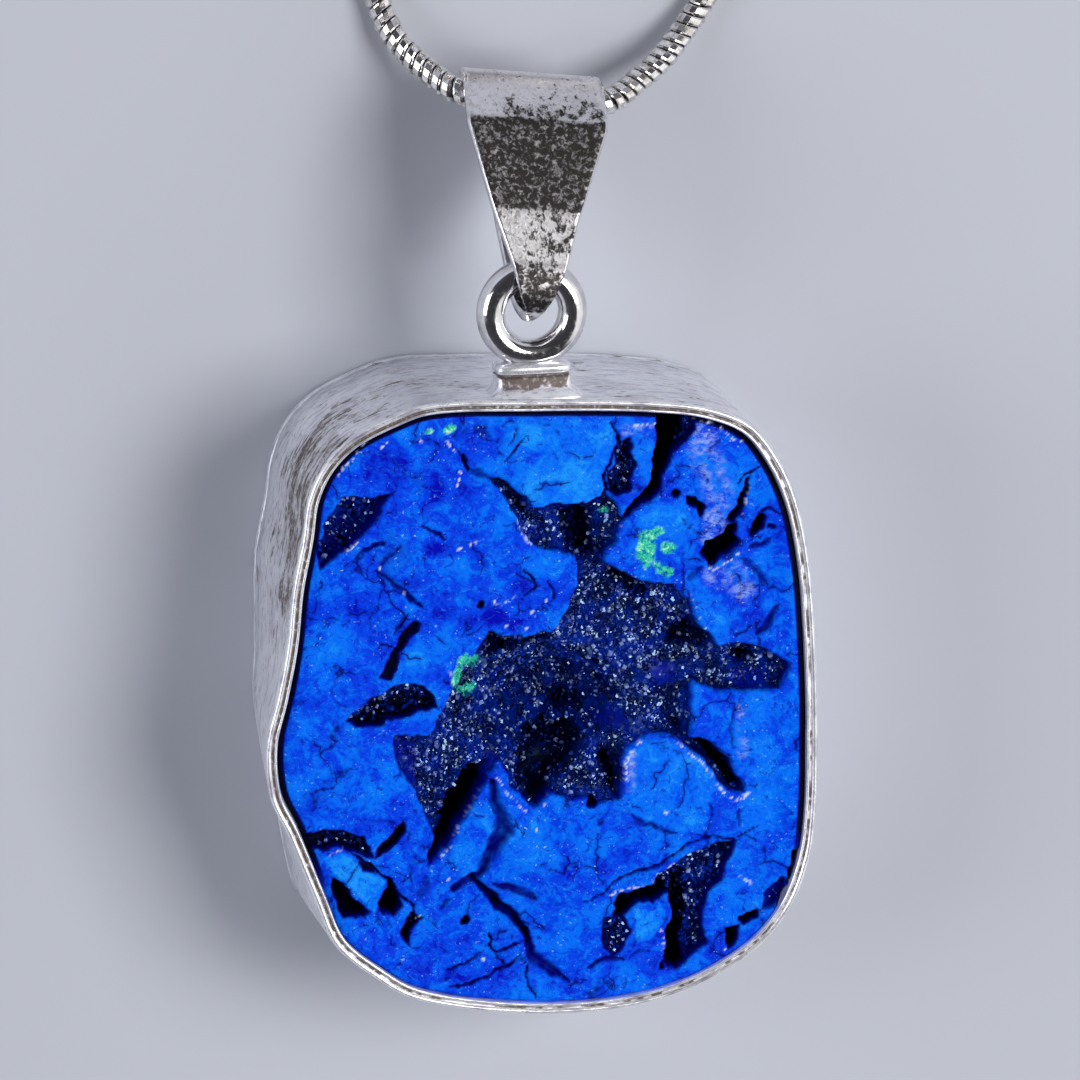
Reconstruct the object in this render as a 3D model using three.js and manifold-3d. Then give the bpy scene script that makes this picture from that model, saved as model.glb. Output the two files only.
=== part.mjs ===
// A polished azurite nodule slice set in a deep silver pendant, on a snake chain.
// Millimetres. The pendant lies on its flat back: +Z out of the face, +Y towards the bail.
// The origin is the middle of the back plate's outer face.
import * as THREE from 'three';
import { mergeVertices } from 'three/addons/utils/BufferGeometryUtils.js';
import Module from 'manifold-3d';

const wasm = await Module();
wasm.setup();

// Driving dimensions of the setting
const bezelDepth = 10;
const wallThickness = 0.6;
const backPlateThickness = 0.8;
const stoneClearance = 0.3;
const faceBelowRim = 0.4;
const touchGap = 0.3;

// The lower left side leans inwards: most at one height, fading out above and below it
const backInset = 1.45;
const leanLow = -12;
const leanMiddle = -3.4;
const leanHigh = 6.5;
const halfWidth = 14;

// Points round the setting's outline
const outlineSegments = 84;

// Outer edge of the front rim, clockwise from the upper left
const rimOutline = [
  [-5.9, 16.1], [-0.3, 16.0], [5.7, 15.6], [8.5, 15.1], [10.6, 14.1], [12.1, 12.1],
  [13.0, 9.9], [13.6, 6.9], [13.9, 3.6], [14.1, -1.9], [14.0, -6.6], [13.7, -8.7],
  [12.8, -11.1], [11.2, -13.1], [8.6, -14.7], [6.0, -15.6], [2.9, -16.0], [-1.8, -15.8],
  [-6.8, -14.7], [-8.7, -13.5], [-10.7, -11.7], [-11.8, -9.1], [-13.1, -5.8],
  [-14.0, -3.8], [-14.2, -1.1], [-13.6, 1.5], [-13.1, 4.1], [-12.8, 6.9],
  [-12.3, 9.5], [-12.0, 11.5], [-11.2, 13.2], [-9.9, 14.5], [-7.6, 15.6],
];

// Levels of the stone
const faceLevel = bezelDepth - faceBelowRim;
const cutterTop = bezelDepth + 2;
const ledgeDepth = 2.2;
const pitDepth = 5.9;

// Mouth of the central hollow, clockwise from the tip of its upper arm
const hollowOutline = [
  [-2.9, 12.1], [-1.9, 11.0], [-0.4, 10.4], [1.4, 10.3], [2.8, 10.3], [3.6, 10.6],
  [4.0, 9.6], [3.2, 7.7], [4.4, 6.8], [5.3, 6.1], [6.8, 5.8], [7.6, 4.8], [8.4, 3.4],
  [9.0, 2.7], [10.0, 2.8], [11.1, 2.6], [12.2, 1.9], [12.8, 1.3], [12.3, 0.1],
  [10.6, 0.2], [8.9, 0.3], [7.8, 0.9], [7.9, -0.3], [8.4, -2.1], [9.3, -2.8],
  [10.1, -3.7], [10.6, -5.4], [9.9, -5.2], [9.2, -4.6], [8.4, -3.7], [7.8, -2.9],
  [6.9, -2.1], [5.5, -1.8], [4.1, -2.2], [4.3, -2.8], [4.2, -5.0], [1.2, -4.8],
  [0.2, -4.5], [-0.3, -5.2], [-0.9, -4.7], [-1.7, -3.6], [-2.1, -2.6], [-3.1, -3.7],
  [-3.9, -4.9], [-4.6, -6.2], [-5.7, -7.9], [-5.6, -6.6], [-5.3, -5.7], [-6.2, -5.6],
  [-6.6, -4.5], [-7.4, -2.5], [-7.8, -1.0], [-5.9, -1.1], [-5.3, -0.2], [-4.7, 0.6],
  [-3.5, 3.0], [-2.4, 4.1], [-1.7, 3.6], [-0.2, 3.8], [0.4, 4.0], [1.4, 5.3],
  [1.9, 6.3], [1.7, 7.6], [1.2, 7.9], [-0.2, 8.4], [-0.9, 8.9], [-1.3, 9.6], [-2.0, 10.6],
];

// Edge of the crystal crust, a little inside the mouth and out of the narrow arms
const crustOutline = [
  [-0.7, 10.0], [2.7, 9.9], [3.5, 9.5], [2.7, 7.7], [4.2, 6.3], [5.1, 5.7], [6.6, 5.4],
  [7.3, 4.5], [8.1, 3.1], [8.8, 2.2], [10.0, 2.4], [11.0, 2.2], [12.2, 1.2], [12.0, 0.5],
  [10.6, 0.6], [8.9, 0.7], [7.7, 1.4], [7.4, 0.2], [7.8, -1.8], [7.2, -1.8], [6.9, -1.7],
  [5.5, -1.4], [3.7, -1.8], [3.9, -2.9], [3.8, -4.6], [1.3, -4.4], [0.3, -4.0],
  [-0.2, -4.7], [-0.7, -4.4], [-1.4, -3.5], [-1.9, -2.1], [-3.0, -3.1], [-4.2, -3.3],
  [-5.4, -5.2], [-6.0, -5.2], [-6.3, -4.4], [-7.1, -2.4], [-7.4, -1.4], [-5.7, -1.5],
  [-4.9, -0.4], [-4.3, 0.4], [-3.2, 2.7], [-2.3, 3.6], [-1.7, 3.2], [-0.2, 3.4],
  [0.6, 3.6], [1.8, 5.1], [2.3, 6.2], [2.1, 7.9], [1.3, 8.3], [0.1, 8.8], [-0.6, 9.3],
];
const deepCentre = [0.6, 0];
const deepRadius = [4.8, 3.3];
const crustRimDepth = 1.4;
const crustDrop = 3.8;
const crystalPitch = 0.62;
const crystalHeight = 0.34;
const crystalLean = 0.7;
const bowlStart = 0.2;
const bowlEnd = 0.97;

// Open pockets: mouth outline and depth
const pockets = [
  { name: 'arrowhead', depth: 1.6, mouth: [
    [-10.2, 0.0], [-9.0, 0.7], [-8.1, 1.1], [-6.9, 1.6], [-6.2, 1.6], [-5.7, 1.1],
    [-5.9, 0.6], [-6.9, 0.0], [-8.1, -0.6], [-9.4, -0.6]] },
  { name: 'upper left eye', depth: 1.3, mouth: [
    [-10.2, 11.2], [-8.7, 11.4], [-7.4, 11.6], [-8.3, 10.5], [-9.0, 9.6], [-9.6, 8.9],
    [-11.2, 8.0], [-11.2, 9.4], [-10.8, 10.6]] },
  { name: 'top right crevice', depth: 2.4, mouth: [
    [6.1, 14.7], [7.4, 14.4], [6.5, 13.1], [6.3, 11.8], [6.0, 10.8], [5.0, 10.0],
    [4.2, 9.7], [4.8, 10.6], [5.6, 11.4], [5.9, 12.7]] },
  { name: 'upper right pit', depth: 1.2, mouth: [
    [9.9, 8.7], [9.9, 7.9], [9.2, 7.7], [8.9, 7.1], [8.2, 7.0], [8.3, 7.8], [9.0, 8.1],
    [9.4, 8.7]] },
  { name: 'lower right slit', depth: 2.6, mouth: [
    [6.8, -9.4], [7.5, -9.2], [7.3, -11.0], [7.0, -12.6], [7.0, -14.2], [6.4, -14.2],
    [6.5, -12.0]] },
  { name: 'lower right druse', depth: 0.7, mouth: [
    [7.8, -9.2], [9.6, -8.0], [10.0, -8.3], [9.0, -10.2], [8.6, -13.0], [8.0, -13.4],
    [7.7, -11.6]] },
  { name: 'bottom right druse', depth: 0.6, mouth: [
    [3.4, -11.0], [4.5, -10.8], [4.4, -12.0], [4.7, -13.2], [3.9, -13.6], [3.2, -12.2]] },
  { name: 'rim chip on the right', depth: 1.1, mouth: [
    [11.3, -9.6], [12.2, -9.0], [12.5, -9.7], [12.3, -11.0], [11.6, -11.4], [11.0, -10.6]] },
  { name: 'lower left hole', depth: 1.8, mouth: [
    [-8.2, -8.5], [-7.3, -9.4], [-7.4, -10.1], [-8.2, -10.2], [-8.4, -9.4]] },
  { name: 'lower left void', depth: 1.5, mouth: [
    [-10.7, -8.5], [-9.8, -8.9], [-9.0, -9.9], [-8.9, -10.4], [-10.1, -10.4]] },
];

// Fissures: route across the face, greatest width and depth
const fissures = [
  { route: [[-5.3, 14.7], [-4.5, 13.8], [-3.8, 12.6], [-2.7, 12.1]], width: 0.3, depth: 0.8 },
  { route: [[2.3, -10.4], [3.3, -10.1], [4.0, -9.0], [6.1, -8.5], [7.2, -7.8], [8.7, -7.3],
    [10.8, -7.1]], width: 0.34, depth: 0.9 },
  { route: [[3.8, -11.2], [4.0, -10.3], [5.6, -9.9], [6.7, -9.4], [7.7, -8.6],
    [10.1, -7.6]], width: 0.5, depth: 1.3 },
  { route: [[-11.8, -5.9], [-11.1, -5.9], [-9.6, -6.4], [-8.2, -7.5]], width: 0.35, depth: 0.9 },
  { route: [[-7.2, -5.6], [-8.3, -7.1]], width: 0.4, depth: 0.9 },
  { route: [[-9.8, -6.9], [-8.8, -7.9], [-7.8, -8.6], [-7.1, -9.6], [-6.1, -10.3]],
    width: 0.3, depth: 0.9 },
  { route: [[-2.1, -6.6], [-2.9, -7.9], [-4.6, -9.2], [-5.1, -9.8]], width: 0.26, depth: 0.6 },
  { route: [[-3.4, -8.7], [-2.4, -9.8], [-1.4, -10.8], [-0.9, -12.1], [-0.5, -12.8],
    [0.8, -14.1]], width: 0.34, depth: 0.8 },
  { route: [[-3.1, -11.3], [-2.7, -12.4], [-1.2, -12.3]], width: 0.22, depth: 0.5 },
  { route: [[-5.1, -14.2], [-3.0, -13.9], [-1.2, -12.9]], width: 0.22, depth: 0.5 },
  { route: [[4.2, -5.1], [4.9, -6.2], [6.3, -6.8], [7.4, -7.4], [8.2, -7.1]],
    width: 0.3, depth: 0.5 },
  { route: [[8.7, -4.8], [8.4, -7.0]], width: 0.22, depth: 0.4 },
  { route: [[10.2, 0.0], [9.7, -1.5], [9.9, -3.1]], width: 0.22, depth: 0.4 },
  { route: [[12.1, -0.3], [12.1, -1.4], [11.4, -2.4]], width: 0.22, depth: 0.4 },
  { route: [[10.2, 7.2], [11.5, 5.8]], width: 0.22, depth: 0.5 },
  { route: [[12.0, 4.6], [11.3, 3.4], [10.4, 2.7]], width: 0.22, depth: 0.4 },
  { route: [[10.6, 11.3], [10.2, 10.3], [9.7, 9.2]], width: 0.5, depth: 1.1 },
  { route: [[7.4, 10.4], [8.1, 9.6]], width: 0.5, depth: 0.9 },
  { route: [[4.3, 13.4], [4.4, 12.0], [3.6, 10.9]], width: 0.6, depth: 0.5 },
];

// Round pits: place on the face, radii across and along, depth
const pits = [
  { at: [11.0, 8.9], radius: [0.35, 0.55], depth: 0.7 },
  { at: [-4.0, -10.9], radius: [0.25, 0.25], depth: 0.6 },
  { at: [9.8, -12.6], radius: [0.3, 0.55], depth: 0.8 },
  { at: [10.7, -11.6], radius: [0.25, 0.3], depth: 0.6 },
  { at: [-9.6, 10.4], radius: [0.25, 0.6], depth: 1.6 },
  { at: [-6.7, -10.3], radius: [0.25, 0.2], depth: 0.6 },
];

// Ring and its soldered seat
const ringCentre = [-0.3, 20.1, 8.3];
const ringOuterRadius = 2.8;
const ringWireRadius = 0.725;
const ringRadius = ringOuterRadius - ringWireRadius;
const ringSegments = [14, 40];
const ringSink = 0.35;
const seatWidth = 3.8;
const seatThickness = 1.9;
const seatPlateHeight = 0.5;
const seatNeckHeight = 0.15;
const seatNeckInset = 0.2;
const seatFootWidth = 4.7;
const seatFootHeight = 0.3;
const seatFootThickness = 2.6;
const solderGap = 0.02;

// Bail: side profile along its length and across its thickness, from the tip fold
const bailTilt = 28;
const bailYaw = -7;
const bailSheet = 0.5;
const bailSpan = 7.2;
const bailTip = 2.55;
const bailHalfDepthAtRing = 1.9;
const bailFoldSegments = 8;
const bailEndHalfGap = 0.3;
const bailFrontProfile = [[0, 1.9], [2.75, 2.15], [7.35, 2.25], [9.75, 1.4], [10.35, 0.6]];
const bailEdge = [
  [-2.6, 0.3], [-2.15, 0.5], [-1.6, 0.88], [-0.45, 1.38], [1.1, 1.85], [2.75, 2.28],
  [4.9, 3.0], [6.7, 3.54], [10.4, 3.6],
];

// Snake chain, from its left end at the clasp, through the bail, to the coil and back
const chainRadius = 0.65;
const chainSides = 8;
const runSteps = 44;
const returnSteps = 14;
const runRoute = [
  [-9.0, 40.1, 1.3], [-8.2, 38.9, 1.1], [-7.3, 37.0, 0.8], [-6.5, 34.7, 0.7],
  [-5.9, 33.1, 1.1], [-5.1, 32.0, 1.8], [-4.2, 31.2, 2.6], [-2.9, 30.4, 3.72],
  [-1.1, 30.3, 3.9], [0.7, 30.1, 4.0], [2.5, 29.8, 3.9], [4.6, 29.55, 3.6],
  [6.2, 30.2, 2.7], [7.7, 31.1, 1.9], [9.0, 32.3, 1.1], [10.2, 33.9, 0.7],
  [11.1, 36.2, 0.66], [11.9, 39.2, 0.66], [12.5, 42.0, 0.66],
];
const returnRoute = [
  [-6.6, 55.1, 1.4], [-8.3, 53.6, 0.9], [-10.0, 52.0, 0.8], [-11.4, 50.2, 1.1],
  [-12.1, 48.4, 1.3],
];
const coilCentre = [2.0, 47.5];
const coilMeanRadius = 7.8;
const turnsAcross = 4;
const turnLayers = 2;
const coilSegments = 40;
const coilRounding = chainRadius * 0.6;

// Barrel clasp lying beside the coil
const claspEnds = [[-9.15, 40.4, 1.3], [-11.95, 48.05, 1.3]];
const claspRadius = 1.3;
const claspCapRadius = 0.95;
const claspCapLength = 0.9;
const claspGroove = 0.14;
const claspChamfer = 0.2;
const claspSegments = 20;

// Finishes
const azurite = new THREE.MeshStandardMaterial({ color: 0x0a46e0, roughness: 0.45, metalness: 0 });
const druse = new THREE.MeshStandardMaterial({ color: 0x0a1460, roughness: 0.25, metalness: 0 });
const satinSilver = new THREE.MeshStandardMaterial({ color: 0xc9c7cf, roughness: 0.4, metalness: 1 });
const brightSilver = new THREE.MeshStandardMaterial({ color: 0xe2e0e2, roughness: 0.15, metalness: 1 });
const agedSilver = new THREE.MeshStandardMaterial({ color: 0xb4afa8, roughness: 0.35, metalness: 1 });

// Repeatable random numbers
function seededRandom(seed) {
  let state = seed;
  return () => {
    state = (state * 1664525 + 1013904223) % 4294967296;
    return state / 4294967296;
  };
}

function smoothstep(low, high, value) {
  return THREE.MathUtils.smoothstep(value, low, high);
}

// Closed mesh to solid and back
function toSolid(geometry) {
  const bare = geometry.clone();
  bare.deleteAttribute('normal');
  bare.deleteAttribute('uv');
  const merged = mergeVertices(bare, 1e-4);
  return new wasm.Manifold(new wasm.Mesh({
    numProp: 3,
    vertProperties: new Float32Array(merged.attributes.position.array),
    triVerts: new Uint32Array(merged.index.array),
  }));
}

function toGeometry(solid) {
  const mesh = solid.getMesh();
  const geometry = new THREE.BufferGeometry();
  geometry.setAttribute('position', new THREE.BufferAttribute(mesh.vertProperties, 3));
  geometry.setIndex(new THREE.BufferAttribute(mesh.triVerts, 1));
  geometry.computeVertexNormals();
  return geometry;
}

function named(name, geometry, material) {
  const mesh = new THREE.Mesh(geometry, material);
  mesh.name = name;
  return mesh;
}

function toVectors(points) {
  return points.map(([x, y]) => new THREE.Vector2(x, y));
}

// Smooth closed outline through a few points
function smoothOutline(points, count) {
  const knots = points.map(([x, y]) => new THREE.Vector3(x, y, 0));
  const curve = new THREE.CatmullRomCurve3(knots, true, 'centripetal');
  return curve.getPoints(count).slice(0, count).map((p) => new THREE.Vector2(p.x, p.y));
}

// A clockwise outline moved inwards along its own normals
function insetOutline(outline, distance) {
  return outline.map((point, index) => {
    const before = outline[(index + outline.length - 1) % outline.length];
    const after = outline[(index + 1) % outline.length];
    const along = after.clone().sub(before).normalize();
    return new THREE.Vector2(point.x + along.y * distance, point.y - along.x * distance);
  });
}

// The wall leans inwards towards the back along the lower left side
function leanInwards(geometry) {
  const position = geometry.attributes.position;
  for (let i = 0; i < position.count; i += 1) {
    const [x, y, z] = [position.getX(i), position.getY(i), position.getZ(i)];
    const alongSide = y > leanMiddle
      ? 1 - smoothstep(leanMiddle, leanHigh, y)
      : smoothstep(leanLow, leanMiddle, y);
    const acrossSide = THREE.MathUtils.clamp(-x / halfWidth, 0, 1);
    position.setX(i, x + backInset * alongSide * acrossSide * (1 - z / bezelDepth));
  }
  return geometry;
}

function prism(outline, bottom, top, hole = null) {
  const shape = new THREE.Shape(outline);
  if (hole) shape.holes.push(new THREE.Path(hole));
  const geometry = new THREE.ExtrudeGeometry(shape, { depth: top - bottom, bevelEnabled: false });
  return geometry.translate(0, 0, bottom);
}

// A fissure is widest in the middle of its route and narrows downwards
function fissureGeometry({ route, width, depth }) {
  const count = route.length;
  const left = [];
  const right = [];
  route.forEach(([x, y], index) => {
    const [x0, y0] = route[Math.max(index - 1, 0)];
    const [x1, y1] = route[Math.min(index + 1, count - 1)];
    const length = Math.hypot(x1 - x0, y1 - y0);
    const atEnd = index === 0 || index === count - 1;
    const half = (width / 2) * (atEnd ? 0.25 : 1);
    const across = [(-(y1 - y0) / length) * half, ((x1 - x0) / length) * half];
    left.push(new THREE.Vector2(x + across[0], y + across[1]));
    right.push(new THREE.Vector2(x - across[0], y - across[1]));
  });
  const geometry = prism([...left, ...right.reverse()], faceLevel - depth, cutterTop);
  const position = geometry.attributes.position;
  for (let i = 0; i < position.count; i += 1) {
    if (position.getZ(i) > faceLevel) continue;
    const [x, y] = [position.getX(i), position.getY(i)];
    const nearest = route.reduce((best, point) => (
      Math.hypot(point[0] - x, point[1] - y) < Math.hypot(best[0] - x, best[1] - y) ? point : best));
    position.setXY(i, (x + nearest[0]) / 2, (y + nearest[1]) / 2);
  }
  return geometry;
}

function pitGeometry({ at, radius, depth }) {
  const geometry = new THREE.IcosahedronGeometry(1, 1);
  return geometry.scale(radius[0], radius[1], depth).translate(at[0], at[1], faceLevel);
}

function deepOutline(inset) {
  const ellipse = new THREE.EllipseCurve(
    deepCentre[0], deepCentre[1], deepRadius[0] - inset, deepRadius[1] - inset);
  return ellipse.getPoints(28).slice(0, 28);
}

function azuriteStone(outerOutline) {
  const edge = insetOutline(outerOutline, wallThickness + stoneClearance);
  const slab = leanInwards(prism(edge, backPlateThickness, faceLevel));
  const cutters = [
    prism(toVectors(hollowOutline), faceLevel - ledgeDepth, cutterTop),
    prism(deepOutline(0), faceLevel - pitDepth, cutterTop),
    ...pockets.map(({ mouth, depth }) => prism(toVectors(mouth), faceLevel - depth, cutterTop)),
    ...fissures.map(fissureGeometry),
    ...pits.map(pitGeometry),
  ];
  let stone = toSolid(slab);
  for (const cutter of cutters) stone = stone.subtract(toSolid(cutter));
  return named('azurite_stone', toGeometry(stone), azurite);
}

// Depth of the crust's surface below the face: a bowl with a level margin
function crustDepth(x, y) {
  const reach = Math.hypot((x - deepCentre[0]) / deepRadius[0], (y - deepCentre[1]) / deepRadius[1]);
  return crustRimDepth + crustDrop * (1 - smoothstep(bowlStart, bowlEnd, reach));
}

// The crust is a faceted sheet of crystal points, trimmed to the hollow and its floor
function druseCrust() {
  const random = seededRandom(11);
  const low = [-8.2, -6.0];
  const high = [13.0, 10.8];
  const size = [high[0] - low[0], high[1] - low[1]];
  const columns = Math.round(size[0] / crystalPitch);
  const rows = Math.round(size[1] / crystalPitch);
  const thickness = pitDepth + 1;
  const block = new THREE.BoxGeometry(size[0], size[1], thickness, columns, rows, 1);
  block.translate(low[0] + size[0] / 2, low[1] + size[1] / 2, faceLevel - thickness / 2);
  const sheet = mergeVertices(withoutSurfaceData(block), 1e-4);
  const position = sheet.attributes.position;
  for (let i = 0; i < position.count; i += 1) {
    const [x, y, z] = [position.getX(i), position.getY(i), position.getZ(i)];
    if (z < faceLevel - 0.01) continue;
    const peak = (random() - 0.35) * crystalHeight;
    const lean = crystalPitch * crystalLean;
    const shift = [(random() - 0.5) * lean, (random() - 0.5) * lean];
    position.setXYZ(i, x + shift[0], y + shift[1], faceLevel - crustDepth(x, y) + peak);
  }
  const margin = toSolid(prism(toVectors(crustOutline), faceLevel - ledgeDepth + touchGap, cutterTop));
  const basin = toSolid(prism(deepOutline(touchGap), faceLevel - pitDepth + touchGap, cutterTop));
  const bounds = toSolid(prism(toVectors(crustOutline), 0, cutterTop));
  const room = margin.add(basin.intersect(bounds));
  return named('druse_crust', toGeometry(toSolid(sheet).intersect(room)), druse);
}

function withoutSurfaceData(geometry) {
  geometry.deleteAttribute('normal');
  geometry.deleteAttribute('uv');
  return geometry;
}

function bezelWall(outerOutline) {
  const inner = insetOutline(outerOutline, wallThickness).reverse();
  const wall = leanInwards(prism(outerOutline, backPlateThickness, bezelDepth, inner));
  return named('bezel_wall', wall, satinSilver);
}

function backPlate(outerOutline) {
  return named('back_plate', leanInwards(prism(outerOutline, 0, backPlateThickness)), satinSilver);
}

function hangingRing() {
  const ring = new THREE.TorusGeometry(ringRadius, ringWireRadius, ...ringSegments);
  const mesh = named('hanging_ring', ring, brightSilver);
  mesh.position.set(...ringCentre);
  return mesh;
}

function boxBetween(width, low, high, thickness, middleZ) {
  const box = new THREE.BoxGeometry(width, high - low, thickness);
  return toSolid(box.translate(ringCentre[0], (low + high) / 2, middleZ));
}

// The seat stands on the top wall: a flared foot, a block, a groove, and a plate under the ring
function ringSeat(outerOutline) {
  const near = outerOutline.filter((p) => Math.abs(p.x - ringCentre[0]) < seatFootWidth);
  const wallTop = Math.max(...near.map((p) => p.y)) + solderGap;
  const plateTop = ringCentre[1] - ringOuterRadius + ringSink;
  const plateLow = plateTop - seatPlateHeight;
  const neckLow = plateLow - seatNeckHeight;
  const z = ringCentre[2];
  const saddleRadius = ringWireRadius + touchGap / 2;
  const saddle = new THREE.TorusGeometry(ringRadius, saddleRadius, ...ringSegments);
  const seat = boxBetween(seatFootWidth, wallTop, wallTop + seatFootHeight, seatFootThickness, z)
    .add(boxBetween(seatWidth, wallTop, neckLow, seatThickness, z))
    .add(boxBetween(seatWidth - seatNeckInset * 2, neckLow, plateLow,
      seatThickness - seatNeckInset * 2, z))
    .add(boxBetween(seatWidth, plateLow, plateTop, seatThickness, z))
    .subtract(toSolid(saddle.translate(...ringCentre)));
  return named('ring_seat', toGeometry(seat), satinSilver);
}

// The bail is one strip folded into a closed loop round the ring's top wire
function bailProfile(inset) {
  const fold = [];
  for (let i = 1; i < bailFoldSegments; i += 1) {
    const angle = Math.PI * (0.5 + i / bailFoldSegments);
    fold.push(new THREE.Vector2(
      Math.cos(angle) * (bailTip - inset), Math.sin(angle) * (bailHalfDepthAtRing - inset)));
  }
  const end = bailFrontProfile[bailFrontProfile.length - 1][0];
  const front = bailFrontProfile.map(([u, w]) => new THREE.Vector2(
    Math.min(u, end - inset), Math.max(w - inset, bailEndHalfGap)));
  const back = front.map((p) => new THREE.Vector2(p.x, -p.y)).reverse();
  return [...fold.reverse(), ...front, ...back];
}

function bailBlock(profile, span) {
  const turnUp = new THREE.Matrix4().makeBasis(
    new THREE.Vector3(0, 1, 0), new THREE.Vector3(0, 0, 1), new THREE.Vector3(1, 0, 0));
  return toSolid(prism(profile, -span / 2, span / 2).applyMatrix4(turnUp));
}

function bail() {
  const outer = bailBlock(bailProfile(0), bailSpan);
  const inner = bailBlock(bailProfile(bailSheet), bailSpan + 1);
  const rightEdge = bailEdge.map(([u, half]) => new THREE.Vector2(half, u));
  const leftEdge = bailEdge.map(([u, half]) => new THREE.Vector2(-half, u)).reverse();
  const taper = toSolid(prism([...rightEdge, ...leftEdge], -bailSpan, bailSpan));
  const mesh = named('bail', toGeometry(outer.subtract(inner).intersect(taper)), agedSilver);
  const tilted = new THREE.Group();
  tilted.add(mesh);
  tilted.rotation.x = THREE.MathUtils.degToRad(-bailTilt);
  const hung = new THREE.Group();
  hung.add(tilted);
  hung.rotation.z = THREE.MathUtils.degToRad(bailYaw);
  hung.position.set(ringCentre[0], ringCentre[1] + ringRadius, ringCentre[2]);
  return hung;
}

function chainTube(name, route, steps) {
  const section = new THREE.Shape();
  for (let i = 0; i < chainSides; i += 1) {
    const angle = (i / chainSides) * Math.PI * 2;
    const [x, y] = [Math.cos(angle) * chainRadius, Math.sin(angle) * chainRadius];
    if (i === 0) section.moveTo(x, y);
    else section.lineTo(x, y);
  }
  const knots = route.map(([x, y, z]) => new THREE.Vector3(x, y, z));
  const path = new THREE.CatmullRomCurve3(knots, false, 'centripetal');
  const tube = new THREE.ExtrudeGeometry(section, { steps, extrudePath: path, bevelEnabled: false });
  return named(name, tube, brightSilver);
}

function chainCoil() {
  const inner = coilMeanRadius - turnsAcross * chainRadius;
  const outer = coilMeanRadius + turnsAcross * chainRadius;
  const height = turnLayers * chainRadius * 2;
  const round = coilRounding;
  const profile = [
    [inner + round, 0], [outer - round, 0], [outer, round], [outer, height - round],
    [outer - round, height], [inner + round, height], [inner, height - round], [inner, round],
    [inner + round, 0],
  ];
  const coil = new THREE.LatheGeometry(toVectors(profile), coilSegments);
  const mesh = named('chain_coil', coil.rotateX(Math.PI / 2), brightSilver);
  mesh.position.set(coilCentre[0], coilCentre[1], 0);
  return mesh;
}

function clasp() {
  const [from, to] = claspEnds.map((end) => new THREE.Vector3(...end));
  const half = from.distanceTo(to) / 2;
  const barrel = half - claspCapLength;
  const profile = [
    [0, -half], [claspCapRadius, -half], [claspCapRadius, -barrel],
    [claspRadius, claspChamfer - barrel], [claspRadius, -claspChamfer],
    [claspRadius - claspGroove, 0], [claspRadius, claspChamfer],
    [claspRadius, barrel - claspChamfer], [claspCapRadius, barrel], [claspCapRadius, half],
    [0, half],
  ];
  const barrelShape = new THREE.LatheGeometry(toVectors(profile), claspSegments);
  const mesh = named('clasp', barrelShape, brightSilver);
  mesh.position.copy(from).add(to).multiplyScalar(0.5);
  mesh.quaternion.setFromUnitVectors(new THREE.Vector3(0, 1, 0), to.clone().sub(from).normalize());
  return mesh;
}

const outerOutline = smoothOutline(rimOutline, outlineSegments);
const pendant = new THREE.Group();
pendant.add(
  azuriteStone(outerOutline),
  druseCrust(),
  bezelWall(outerOutline),
  backPlate(outerOutline),
  ringSeat(outerOutline),
  hangingRing(),
  bail(),
  chainTube('chain_run', runRoute, runSteps),
  chainTube('chain_return', returnRoute, returnSteps),
  chainCoil(),
  clasp(),
);

export default pendant;
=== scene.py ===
import math

import bpy
import numpy as np
from mathutils import Matrix, Vector


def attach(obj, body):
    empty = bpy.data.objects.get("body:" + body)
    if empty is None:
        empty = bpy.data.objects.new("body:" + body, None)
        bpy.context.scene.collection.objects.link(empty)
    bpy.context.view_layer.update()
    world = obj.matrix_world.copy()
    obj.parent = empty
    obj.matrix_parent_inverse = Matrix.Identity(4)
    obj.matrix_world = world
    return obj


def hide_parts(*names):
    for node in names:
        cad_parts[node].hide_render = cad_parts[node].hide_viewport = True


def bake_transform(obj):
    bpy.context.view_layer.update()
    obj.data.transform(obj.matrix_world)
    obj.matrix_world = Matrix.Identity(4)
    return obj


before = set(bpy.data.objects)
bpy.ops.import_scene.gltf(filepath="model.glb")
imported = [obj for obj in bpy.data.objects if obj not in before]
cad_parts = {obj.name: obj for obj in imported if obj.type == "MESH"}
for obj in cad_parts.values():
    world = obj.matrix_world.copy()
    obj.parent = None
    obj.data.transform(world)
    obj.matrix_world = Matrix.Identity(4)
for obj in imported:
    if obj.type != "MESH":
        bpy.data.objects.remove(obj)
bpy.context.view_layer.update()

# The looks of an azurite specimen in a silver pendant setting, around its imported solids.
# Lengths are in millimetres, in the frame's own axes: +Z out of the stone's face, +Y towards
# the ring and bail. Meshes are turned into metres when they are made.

MM = 0.001

# Camera: the photograph's frame is square, and one millimetre at the target is 19.5 pixels
CAMERA_BACK = Vector((-0.2074, 0.2611, 0.9428))
CAMERA_RIGHT = Vector((0.9767, 0.0, 0.2149))
CAMERA_UP = Vector((0.0561, 0.9653, -0.2550))
CAMERA_TARGET = Vector((0.233, 8.205, 7.779))
CAMERA_DISTANCE = 600
CAMERA_LENS = 400
CAMERA_SENSOR = 36

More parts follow.
